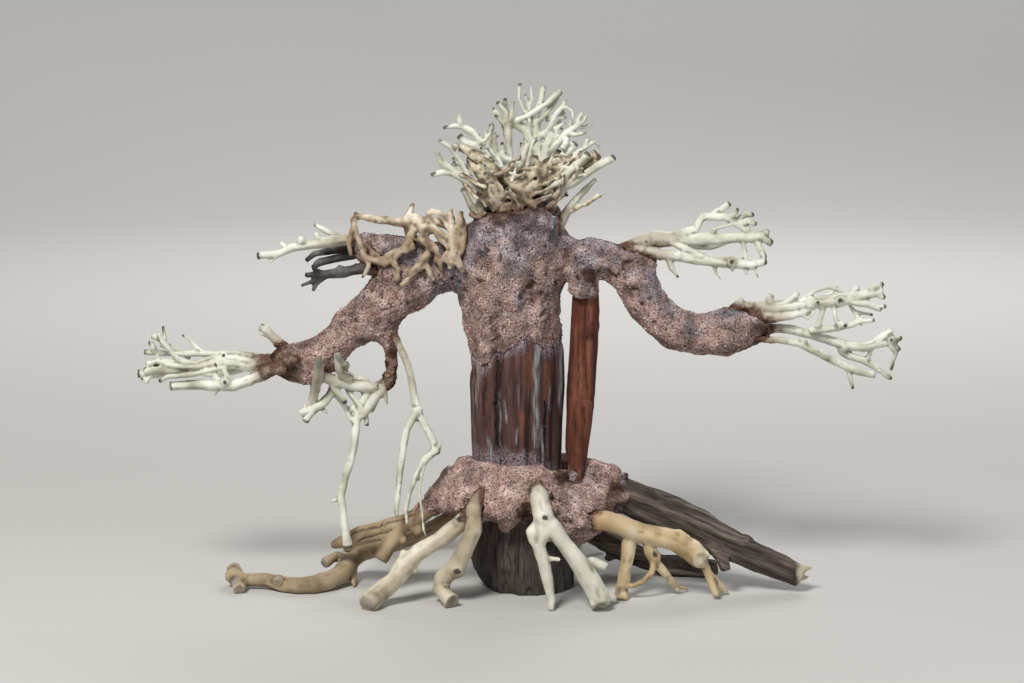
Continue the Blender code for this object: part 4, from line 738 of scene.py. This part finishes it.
for k in range(16):  # the dry root fibres that cross the middle of the crown
    drift = 1.3 * k
    wave = 3 * math.sin(1.7 * k)
    crownStock["sticks"].append([
        (-9 + 0.3 * k, 187 + drift + wave, -13, 0.6), (0.5 * k, 189 + drift, -16.5, 0.8),
        (10 + 0.5 * k, 193 + drift - wave, -16, 0.7), (20 + 0.5 * k, 196 + drift, -13, 0.5)])

pieces = {
    "crown_root_stock": crownStock,
    "crown_tall_twigs": {"antlers": [
        (-16, 196, -6, 2.3, 16, 1.6), (-10, 212, -4, 1.9, 12, 1.4), (2, 216, 4, 1.4, 16, 1.5),
        (16, 222, 3, 1.2, 12, 1.3), (22, 218, -6, 0.9, 13, 1.4), (26, 208, -8, 0.5, 12, 1.3),
        (-20, 205, 2, 2.4, 12, 1.3), (-6, 224, 3, 1.8, 12, 1.2), (14, 232, 3, 1, 9, 1.2),
        *[(-12 + 4.2 * k, 202 + 7 * math.sin(1.9 * k), -14, 2.1 - 0.19 * k, 15, 1.15) for k in range(9)],
    ], "eyes": [(16.5, 214, 2), (-6, 216, 1.2)]},
    "crown_left_twigs": {},
    "crown_right_twigs": {},
    "crown_back_twigs": {"antlers": [(-10, 200, 18, 1.9, 14, 1.4), (6, 205, 20, 1.2, 14, 1.4)]},
    "left_shoulder_white_twig": {},
    "left_shoulder_grey_twigs": {"slot": "grey"},
    "left_shoulder_low_twigs": {"slot": "grey"},
    "tan_root_tangle": {"slot": "tan", "collar": 3, "joints": 5, "knotSize": 3.5, "knotDepth": 0.5,
                        "sticks": [
        [(-57, 181.5, -9, 2.2), (-53, 183, -9, 2.7), (-47, 181, -10, 2.7), (-42, 177, -12, 2.2)],
        [(-51.5, 179, -10, 2), (-55, 172, -13, 2), (-57, 166, -14, 1.7)],
        [(-50, 174, -12, 2.4), (-44, 170, -14, 2.5), (-40, 166, -14, 1.8), (-41, 161, -14, 1.3)],
        [(-34, 186, -10, 1.5), (-33, 179, -13, 2.2), (-32.5, 172, -15, 2.4), (-33.5, 165, -16, 2.5)],
        [(-28, 184, -11, 1.3), (-27, 177, -14, 1.8), (-28, 169, -16, 2), (-31, 163, -17, 2)],
        [(-35, 166, -16, 1.7), (-39, 161, -16, 1.3), (-37.5, 157, -16, 0.9)],
        [(-33, 164, -17, 1.5), (-34, 158, -17.5, 1.1)],
        [(-30, 163, -17, 1.5), (-27.5, 156.5, -18, 1)],
        [(-46, 186, -9, 1.2), (-41, 186.5, -10, 1.3), (-36, 184, -11, 1.2), (-33, 188, -10, 0.8)],
        [(-43, 180, -12, 1.1), (-38, 176, -14, 1.1), (-35, 171, -15, 1)],
        [(-66, 163, -13, 1.8), (-62, 166, -13, 1.8), (-57, 167.5, -13, 1.8), (-52, 170, -13, 2)],
        [(-70, 164, -12, 2), (-73, 167, -11, 1.5), (-76, 171, -10, 1.2)],
        [(-45, 166, -15, 1.7), (-50, 160, -16, 1.5), (-55, 156, -16, 1.3)],
        [(-24, 186, -9, 1.7), (-20, 184, -10, 1.3), (-16, 186, -9, 0.8)],
    ]},
    "left_arm_spray": {"collar": 11, "sticks": [
        [(-120, 110, -11, 2.4), (-114, 112, -14, 2.6), (-110, 113.5, -15.5, 1.8)],
        [(-128, 106.5, -11, 2.6), (-121, 108, -13, 2.8), (-116, 107.5, -13, 2)],
        [(-160, 110.5, -4, 1.7), (-170, 111.5, -3, 1.8), (-178, 110.5, -3, 1.6), (-183, 108, -3, 1.3)],
        [(-166, 108, -6, 1.8), (-173, 107, -8, 1.9), (-180, 107.5, -9, 1.8), (-187, 107, -9, 1.9)],
        [(-152, 105.5, -9, 1.6), (-149, 101, -10, 1.8)],
        [(-176, 120, -6, 1.2), (-180, 123.5, -5, 1.6), (-183.5, 124.5, -5, 1.3)],
        [(-178, 118.5, -3, 1.3), (-176.5, 123, -2, 1.2), (-177.5, 129.5, -2, 0.8)],
    ], "antlers": [
        (-168, 112, -2, 3, 12, 1.4), (-172, 109, -8, 2.9, 10, 1.3), (-164, 113, 3, 2.7, 10, 1.2),
        (-176, 106, -6, 3.3, 8, 1.3),
    ], "eyes": [
        (-147, 115, 1.6), (-151, 110, 1.5), (-146.5, 101.5, 1.7), (-137, 104.5, 1.1), (-172, 106, 0.8)]},
    "left_arm_stub": {},
    "ring_spray": {"sticks": [
        [(-99.5, 114.5, -20, 1.3), (-99.5, 110, -19.5, 2.3), (-100, 104, -16.5, 2.6), (-101.5, 97, -11, 2.4),
         (-103.5, 90, -8, 2)],
        [(-90.5, 116, -18, 1.5), (-89.5, 111.5, -17, 2.1), (-89, 106, -13.5, 2.1), (-83, 103.5, -10, 2)],
        [(-90, 110.5, -17, 1.7), (-85, 110.5, -17, 1.4)],
        [(-100, 105, -15, 2.4), (-91, 101.7, -11, 2.8), (-81.5, 99.5, -8, 2.6), (-71.5, 99, -6, 2.4)],
        [(-92, 98, -8, 2), (-97, 91, -9, 2.2), (-104, 88, -9, 2), (-109, 86, -8, 1.6)],
        [(-103, 87, -9, 2.2), (-106.5, 81.5, -9, 1.7)],
        [(-74, 98, -5, 1.4), (-78, 92, -7, 1.2), (-81, 84, -8, 1)],
        [(-85, 97, -7, 1.5), (-80, 91, -8, 1.3), (-77, 84, -8, 1.1)],
        [(-66, 102, -4, 2.6), (-68, 98, -5, 2.6), (-73, 92, -6, 2.6), (-77, 86, -7, 2.2), (-83, 82, -7, 1.7)],
        [(-95, 103, -12, 1.4), (-90, 96, -11, 1.6), (-86, 91, -10, 1.3)],
    ], "eyes": [(-98, 103, 1.2), (-70, 99.5, 1.2), (-87, 91, 1), (-97, 108, 1.1)]},
    "hanging_fork": {},
    "right_shoulder_spray": {"eyes": [(107, 161.5, 1.4), (111, 165, 1), (64, 171.5, 1.2)]},
    "right_arm_upper_spray": {"collar": 5, "eyes": [(161, 142.5, 1.8), (150, 141.5, 1.4), (157, 135.5, 1.4),
                                                    (163.5, 129.5, 1.5), (170, 133.5, 1.2)]},
    "right_arm_fork": {"collar": 5, "eyes": [(186.5, 122.5, 1.4)]},
    "right_arm_low_fork": {"collar": 5},
}
for number, (node, settings) in enumerate(pieces.items()):
    dressWood(node, {**twig, "seed": 1 + number, **settings})

bark = {"slot": "dark_bark", "relax": 14, "grainDepth": 1.0}
roots = {
    "root_plank_left": {"slot": "root_tan", "cracks": [(-84, 25.5, -50, 36, 1.1), (-80, 22, -62, 28, 0.8)]},
    "root_long_left": {"slot": "root_tan", "scars": [(-120.5, 2.5, 3), (-96, 12.5, 3), (-142, 2, 4)]},
    "root_front_left": {"look": "root_ivory", "eyes": [(-29, 33, 3)],
                        "scars": [(-74.5, -9, 5), (-61.5, 13, 2.5)]},
    "root_front_mid": {"look": "root_ivory", "eyes": [(-30.5, 7, 2.4)], "scars": [(-32.5, -8.5, 4.5)]},
    "root_front_centre": {"look": "root_white", "aged": 9, "eyes": [(13.5, 34, 2)]},
    "root_right": {"slot": "root_yellow", "eyes": [(68.5, 15.5, 2)], "scars": [(92, 11.5, 5)]},
    "root_dark_right": {**bark, "slope": darkRoots["dark_bark"], "paleEnd": (139, 142)},
    "root_dark_back": {**bark, "slope": darkRoots["dark_back"], "look": "dark_back"},
    "root_back_left": {"slot": "root_tan"},
    "root_back_middle": {"slot": "root_yellow"},
}
for number, (node, settings) in enumerate(roots.items()):
    dressWood(node, {**root, "seed": 50 + number, **settings})


# Crust: sawdust set in glue
def sawdustCrust():
    # Sawdust set in glue: a granular, matte skin with pale grains, painted shade in the pits between them,
    # and lavender-grey smears where the glue was thick
    material, add, place, (relief, zone, tint, rust) = startMaterial(
        "sawdust set in wood glue", ("relief", "zone", "tint", "rust"))
    blotch = add("TexNoise", {"Vector": place, "Scale": 1 / (6 * mm), "Detail": 5})
    grit = add("TexNoise", {"Vector": place, "Scale": 1 / (0.8 * mm), "Detail": 3})
    broad = add("TexNoise", {"Vector": place, "Scale": 1 / (10 * mm), "Detail": 6})
    pink = add("ValToRGB", {"Fac": blotch}, ((0.3, "#8D736A"), (0.5, "#AD9189"), (0.7, "#C8B0A8")))
    grey = add("ValToRGB", {"Fac": blotch}, ((0.3, "#72646A"), (0.5, "#95888C"), (0.7, "#B3A9AB")))
    ground = add("Mix", {0: zone, 6: pink, 7: grey}, **asColour)
    worn = add("ValToRGB", {"Fac": broad}, ((0.36, 0.5), (0.48, 0.9), (0.62, 1.12)))
    uneven = add("Mix", {0: 1.0, 6: ground, 7: worn}, **asProduct)
    brown = add("ValToRGB", {"Fac": blotch}, ((0.35, "#2E1B14"), (0.5, "#513729"), (0.65, "#846E5F")))
    rusty = add("Mix", {0: rust, 6: uneven, 7: brown}, **asColour)
    speck = add("ValToRGB", {"Fac": grit}, ((0.36, 0.24), (0.48, 0.86), (0.66, 1.25)))
    speckled = add("Mix", {0: 1.0, 6: rusty, 7: speck}, **asProduct)
    chip = add("MapRange", {0: tint, 1: 0, 2: 1, 3: 0.35, 4: 1.6})
    chipped = add("VectorMath", {0: speckled, 3: chip}, operation="SCALE")
    # painted shade: the pits and hollows of the relief are darkened towards a dark brown
    pitShade = add("MapRange", {0: relief, 1: -0.35, 2: -1.0, 3: 0, 4: 0.85})
    pitShaded = add("Mix", {0: pitShade, 6: chipped, 7: "#43302A"}, **asColour)
    bump = add("Bump", {"Height": grit, "Distance": 0.4 * mm, "Strength": 0.8})
    return finishMaterial(material, colour=pitShaded, normal=bump, roughness=0.85, specular=0.25)


def makeChip():
    # one sawdust chip, a millimetre long: a crooked five-sided flake
    places = ((0.5, 0.05, 0.02), (0.12, 0.26, -0.03), (-0.42, 0.2, 0.04), (-0.5, -0.1, -0.02),
              (0.1, -0.28, 0.03), (0.02, 0, 0.17), (-0.05, 0, -0.17))
    shape = bmesh.new()
    *rim, upper, lower = [shape.verts.new(Vector(place) * mm) for place in places]
    for k in range(len(rim)):
        shape.faces.new((rim[k - 1], rim[k], upper))
        shape.faces.new((rim[k], rim[k - 1], lower))
    mesh = bpy.data.meshes.new("chip")
    shape.to_mesh(mesh)
    shape.free()
    return addObject("chip", mesh)


def chipTree(chip, look):
    # scatters chips over the skin, half sunk in, each with a tint of its own
    tree = bpy.data.node_groups.new("sawdust chips", "GeometryNodeTree")
    tree.interface.new_socket("Geometry", in_out="INPUT", socket_type="NodeSocketGeometry")
    for name in ("Density", "Smallest", "Largest"):
        tree.interface.new_socket(name, in_out="INPUT", socket_type="NodeSocketFloat")
    tree.interface.new_socket("Seed", in_out="INPUT", socket_type="NodeSocketInt")
    tree.interface.new_socket("Geometry", in_out="OUTPUT", socket_type="NodeSocketGeometry")
    add = partial(addNode, tree)
    given = add("NodeGroupInput").node.outputs
    points = add("GeometryNodeDistributePointsOnFaces",
                 {"Mesh": given["Geometry"], "Density": given["Density"], "Seed": given["Seed"]})
    tilt = add("FunctionNodeRandomValue", {0: (-0.5, -0.5, 0), 1: (0.5, 0.5, 6.283), 8: given["Seed"]},
               data_type="FLOAT_VECTOR")
    spun = add("FunctionNodeEulerToRotation", {0: tilt})
    flat = points.node.outputs["Rotation"]
    turned = add("FunctionNodeRotateRotation", {0: flat, 1: spun}, rotation_space="LOCAL")
    size = add("FunctionNodeRandomValue", {2: given["Smallest"], 3: given["Largest"], 8: given["Seed"]},
               out=1, data_type="FLOAT")
    flake = add("GeometryNodeObjectInfo", {"Object": chip}, out="Geometry")
    chips = add("GeometryNodeInstanceOnPoints",
                {"Points": points, "Instance": flake, "Rotation": turned, "Scale": size})
    tint = add("FunctionNodeRandomValue", {2: 0.0, 3: 1.0, 8: given["Seed"]}, out=1, data_type="FLOAT")
    tinted = add("GeometryNodeStoreNamedAttribute", {"Geometry": chips, "Name": "tint", "Value": tint},
                 data_type="FLOAT", domain="INSTANCE")
    real = add("GeometryNodeRealizeInstances", {0: tinted})
    both = add("GeometryNodeJoinGeometry", {0: real})
    tree.links.new(given["Geometry"], both.node.inputs[0])
    coated = add("GeometryNodeSetMaterial", {"Geometry": both, "Material": look})
    add("NodeGroupOutput", {0: coated})
    return tree


# Lumps, pits and hollows have a large and a small size. Depths are how far each goes in or out, and shares
# how many pits deep the hollows and dents are.
crust = {
    "lumps": (13, 5), "lumpDepth": 1.0, "pits": (3.2, 1.3), "pitDepth": 1.3, "hollows": (9, 4),
    "hollowShare": 1.3, "dentShare": 2.2, "grainSize": 1.9, "grainDepth": 0.4,
    "chips": {"Density": 0.19e6, "Smallest": 0.8, "Largest": 2.3},  # how many on a square metre, and how long
    # where red-brown sawdust lies round a glued joint: x, y and z, and how far it reaches
    "rust": [(-126, -4, 113, 26), (124, -6, 128, 18), (-3, -4, 196, 27), (-66, -6, 98, 20),
             (-61, -10, 122, 8), (-64, -4, 112, 12), (60, -4, 172, 12), (38, -16, 160, 8), (-30, -6, 186, 12),
             (45, -30, 44, 12), (4, -34, 46, 9), (22, -20, 62, 12), (49, -18, 42, 11), (49, -12, 54, 9),
             (2, -36, 40, 7)],
}
# Sticks are added fingers and lobes. Dents are sculpted hollows: x, y and z, and how far each reaches.
crusts = {
    "upper_crust": {
        "voxel": 1.05, "tint": 0.45,
        "sticks": [
            [(-64, 106, -4, 4.4), (-65, 101, -4, 3.6), (-67, 98, -4, 2.4)],
            [(-4, 190, -3, 11), (-3, 194, -3, 6)],
            [(32, 158, -7, 9), (32.5, 151, -8, 8), (33, 147, -9, 7.6), (33.2, 144.5, -9, 6.4)],
        ],
        "dents": [(23, -20, 156, 8), (43, -12, 157, 8), (-18, -22, 168, 8), (4, -24, 152, 4),
                  (57, -12, 152, 6), (-60, -12, 125, 7), (-52, -12, 118, 6)],
    },
    "root_crust": {
        "voxel": 0.95, "tint": 0.5,
        "sticks": [
            [(-34, 46, -13, 7), (-42, 40, -13, 5.6), (-50, 36, -13, 3.4)],
            [(-16, 42, -24, 8), (-22, 34, -27, 5.5), (-27, 30, -31, 4)],
            [(-2, 38, -27, 8), (-6, 31, -26, 5), (-8, 27, -25, 2.5)],
            [(20, 38, -26, 8), (24, 30, -27, 6), (27, 24, -26, 4)],
            [(32, 33, -22, 8), (38, 30, -24, 5.6)],
            [(38, 50, -8, 9), (46, 47, -10, 6), (54, 42, -12, 3)],
            [(-30, 54, -8, 8), (-37, 47, -9, 6.5), (-44, 41, -11, 5)],
            [(12, 44, -33, 5), (11, 38, -38, 3.4)],
            [(40, 40, -20, 6), (46, 34, -24, 4.5), (50, 31, -25, 3)],
            [(10, 54, -24, 7), (8, 59, -23, 5)],
            [(-21, 55, -17, 6), (-21, 60, -17, 4.6)],
            [(24, 53, -14, 5), (24, 57, -15, 4.6)],
        ],
        "dents": [(3, -36, 41, 5), (-24, -30, 52, 6), (48, -20, 50, 5), (16, -34, 55, 5)],
    },
}

# The upper crust's lower edge on the log: across and up in the front view, with a notch right of the middle
edge = {
    "across": (-26, -20, -14, -12, -2, 3, 6.5, 9, 13, 22, 26),
    "up": (112, 109.5, 111, 117.5, 120, 123, 129, 122.5, 118, 121, 118),
    "cadUp": 116.5,  # where the CAD node's own edge is
    "halfWidth": 26,  # only points this near the log's axis belong to it
    "warp": 44,  # how far above the edge the shape still follows it
    "thin": 28,  # how far above the edge the crust is thinner than the CAD node
    "least": 0.1,  # the share of its thickness that is left at the edge
    "top": 160,  # higher points are left alone
}
logFront = -23  # the depth of the log's front, before its axis
cadEdge = seen(0, edge["cadUp"], logFront)[2]


def edgeHeight(points):
    up = np.interp(points[:, 0] / mm, edge["across"], edge["up"]) + 1.8 * cloud(points * (1, 1, 0), 3.5, 21)
    return cadEdge + (up - edge["cadUp"]) * mm


def hugLog(skin):
    # the crust gets its jagged lower edge, and thins out to a skin on the log towards it
    lowest = edgeHeight(skin.points)
    over = np.abs(skin.points[:, 0]) < edge["halfWidth"] * mm
    held = 1 - ramp(skin.points[:, 2], cadEdge, cadEdge + edge["warp"] * mm)
    skin.points[:, 2] += over * held * (lowest - cadEdge)
    for k in np.nonzero(over & (skin.points[:, 2] < edge["top"] * mm))[0]:
        point = Vector(skin.points[k])
        spot = nodeTrees["trunk_log"].find_nearest(point)[0]
        share = min(1, max(0, (point.z - lowest[k]) / (edge["thin"] * mm)))
        skin.points[k] = spot + (point - spot) * (edge["least"] + (1 - edge["least"]) * share)


def addChips(skin, scatter, seed):
    sockets = {item.name: item.identifier for item in scatter.interface.items_tree if item.in_out == "INPUT"}
    modifier = skin.obj.modifiers.new("chips", "NODES")
    modifier.node_group = scatter
    for name, value in {**crust["chips"], "Seed": seed}.items():
        modifier[sockets[name]] = value
    skin.mesh = takeMesh(skin.obj).data


def dressCrust(node, settings, scatter, look):
    # one crust: lumps, grains, pits and dents, pink below and grey above, rusty round the joints
    seed = settings["seed"]
    skin = melted(node, settings)
    skin.relax(3)
    large, small = settings["lumps"]
    lumps = skin.cloud(large, seed) + 0.7 * skin.cloud(small, seed + 5)
    rounded = 0.6 - grains(skin.points, settings["grainSize"], seed)
    large, small = settings["pits"]
    gap = ramp(skin.cloud(large, seed + 11) + 0.5 * skin.cloud(small, seed + 12), 0.55, 1.0)
    large, small = settings["hollows"]
    hollows = ramp(skin.cloud(large, seed + 13) + 0.6 * skin.cloud(small, seed + 14), 0.55, 1.1)
    gap += settings["hollowShare"] * hollows * ramp(skin.points[:, 2] / mm, 126, 140)
    if node == "upper_crust":
        hugLog(skin)
    for *place, reach in settings["dents"]:
        away = np.linalg.norm(skin.points / mm - place, axis=1)
        gap += settings["dentShare"] * (1 - ramp(away, 0.3 * reach, reach))
    bumps = settings["lumpDepth"] * lumps + settings["grainDepth"] * rounded
    skin.push(mm * (bumps - settings["pitDepth"] * gap))
    mauve = 16 * skin.cloud(17, 9) + 12 * skin.cloud(6, 10) + 15 * ramp(skin.points[:, 0] / mm, 60, 85)
    zone = ramp(skin.points[:, 2] / mm + 1.6 * mauve, 150, 176)
    rust = np.zeros(skin.count)
    wander = 3 * skin.cloud(4, 31)
    for *place, reach in settings["rust"]:
        away = np.linalg.norm(skin.points / mm - place, axis=1) + wander
        rust = np.maximum(rust, 1 - ramp(away, 0.4 * reach, reach))
    skin.keep(relief=skin.height(2, 8), zone=zone, tint=np.full(skin.count, settings["tint"]), rust=rust)
    addChips(skin, scatter, seed + 3)
    finishPiece(skin, node, "crust", look)


crustLook = sawdustCrust()
chip = makeChip()
scatter = chipTree(chip, crustLook)
for number, (node, settings) in enumerate(crusts.items()):
    dressCrust(node, {**crust, "seed": number, **settings}, scatter, crustLook)
bpy.data.objects.remove(chip)


# Log and strut
upright = {"turn": 0.0, "stretch": (1, 1, 14), "dust": "#8F848A", "cut": "#5A4A40"}
uprights = {
    "trunk_log": {
        **upright, "name": "weathered log wood", "slot": "log_wood", "voxel": 1.1, "depth": 0.45, "relax": 8,
        "body": ("#342325", "#483230", "#563C38", "#644640"), "foot": "#4E4642", "silver": "#868888",
        "hollow": "#1A1414", "warm": "#6E4431", "dustReach": 9, "seed": 0,
        # cracks from one place to another, and half a width
        "cracks": [(-10.5, 114, -10, 68, 1.2), (-17, 104, -17.5, 84, 0.8), (14, 92, 14.5, 66, 0.9)],
        # redder stripes and grey-blue streaks: across, top and bottom in the front view, and half a width
        "stripes": [(5, 117, 96, 2.2), (-20.5, 108, 86, 2.2), (14.5, 112, 88, 1.8), (2, 88, 70, 1.5)],
        "streaks": [(9, 122, 66, 1.7), (21.5, 120, 80, 1.1), (-9, 98, 60, 0.8), (-6, 93, 79, 0.7),
                    (0, 80, 68, 1.0), (-20, 112, 84, 0.9), (12, 80, 62, 1.1), (-14, 74, 58, 1.3),
                    (16, 100, 84, 0.6)],
    },
    "side_strut": {
        **upright, "name": "red-brown root splinter", "slot": "red_wood", "voxel": 0.8, "depth": 0.18,
        "body": ("#3A1F18", "#512C20", "#633727", "#7C4C39"), "foot": "#593122", "silver": "#997661",
        "hollow": "#2A140E", "warm": "#6F4433", "dustReach": 3, "relax": 110, "seed": 4,
        "stripes": [(29, 130, 90, 1.6), (34, 118, 72, 1.2)], "streaks": [],
        "sticks": [[(31.5, 92, -8, 7), (29.8, 76, -11, 6.2), (29, 66, -12, 5.4)]],
    },
}


def frontBands(skin, bands):
    # 1 along upright bands on the front, which wander a little and end softly, and 0 elsewhere
    share = np.zeros(skin.count)
    wander = 1.2 * cloud(skin.points * (0, 0, 1), 9, 8)
    for across, top, bottom, half in bands:
        high, low = seen(across, top, logFront)[2], seen(across, bottom, logFront)[2]
        off = np.abs(skin.points[:, 0] / mm - across + wander) / half
        held = ramp(skin.points[:, 2], low, low + 4 * mm) * (1 - ramp(skin.points[:, 2], high - 4 * mm, high))
        share = np.maximum(share, (1 - ramp(off, 0.4, 1.1)) * held * (skin.points[:, 1] < 0))
    return share


def dressUpright(node, settings):
    # the log or the strut: long fibres and cracks, streaks and stripes, and dust beside the crusts
    seed = settings["seed"]
    skin = melted(node, settings)
    skin.relax(settings["relax"])
    fine = skin.cloud((1.5, 1.5, 18), seed) + skin.cloud((3, 3, 40), seed + 3)
    crack = 1 - ramp(np.abs(skin.cloud((6, 6, 70), seed + 1)), 0.02, 0.12)
    wall = 1 - ramp(np.abs(skin.normals()[:, 2]), 0.6, 0.9)
    split = grooves(skin, node, settings)
    skin.push(mm * (settings["depth"] * wall * (fine - 1.6 * crack) - 1.5 * split))
    weathered = 0.35 * ramp(skin.cloud((2.2, 2.2, 26), seed + 7), 0.45, 0.7)
    silver = np.maximum(weathered, frontBands(skin, settings["streaks"]))
    warm = 0.8 * frontBands(skin, settings["stripes"])
    patchy = 2 * (skin.cloud(3, 5) + 0.6 * skin.cloud(1.2, 6))
    near = crustDistance(skin.points) / mm
    if node == "trunk_log":
        below = (edgeHeight(skin.points) - skin.points[:, 2]) / mm
        near = np.where(below < 24, np.maximum(below, 0), near)
    collar = 1 - ramp(near + patchy, 1, settings["dustReach"])
    foot = 1 - ramp(skin.points[:, 2] / mm, 22, 48)
    # the relief is made deeper along the cracks, so that they take more of the painted shade
    skin.keep(relief=skin.height(2, 8) - 1.5 * split, silver=silver, foot=foot, warm=warm, collar=collar)
    finishPiece(skin, node, settings["slot"], fibrousWood(settings))


for node, settings in uprights.items():
    dressUpright(node, settings)


def corners(bounds):
    return [list(corner) for corner in bounds]


{"cad": corners(cadBounds), "visual": corners(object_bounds())}
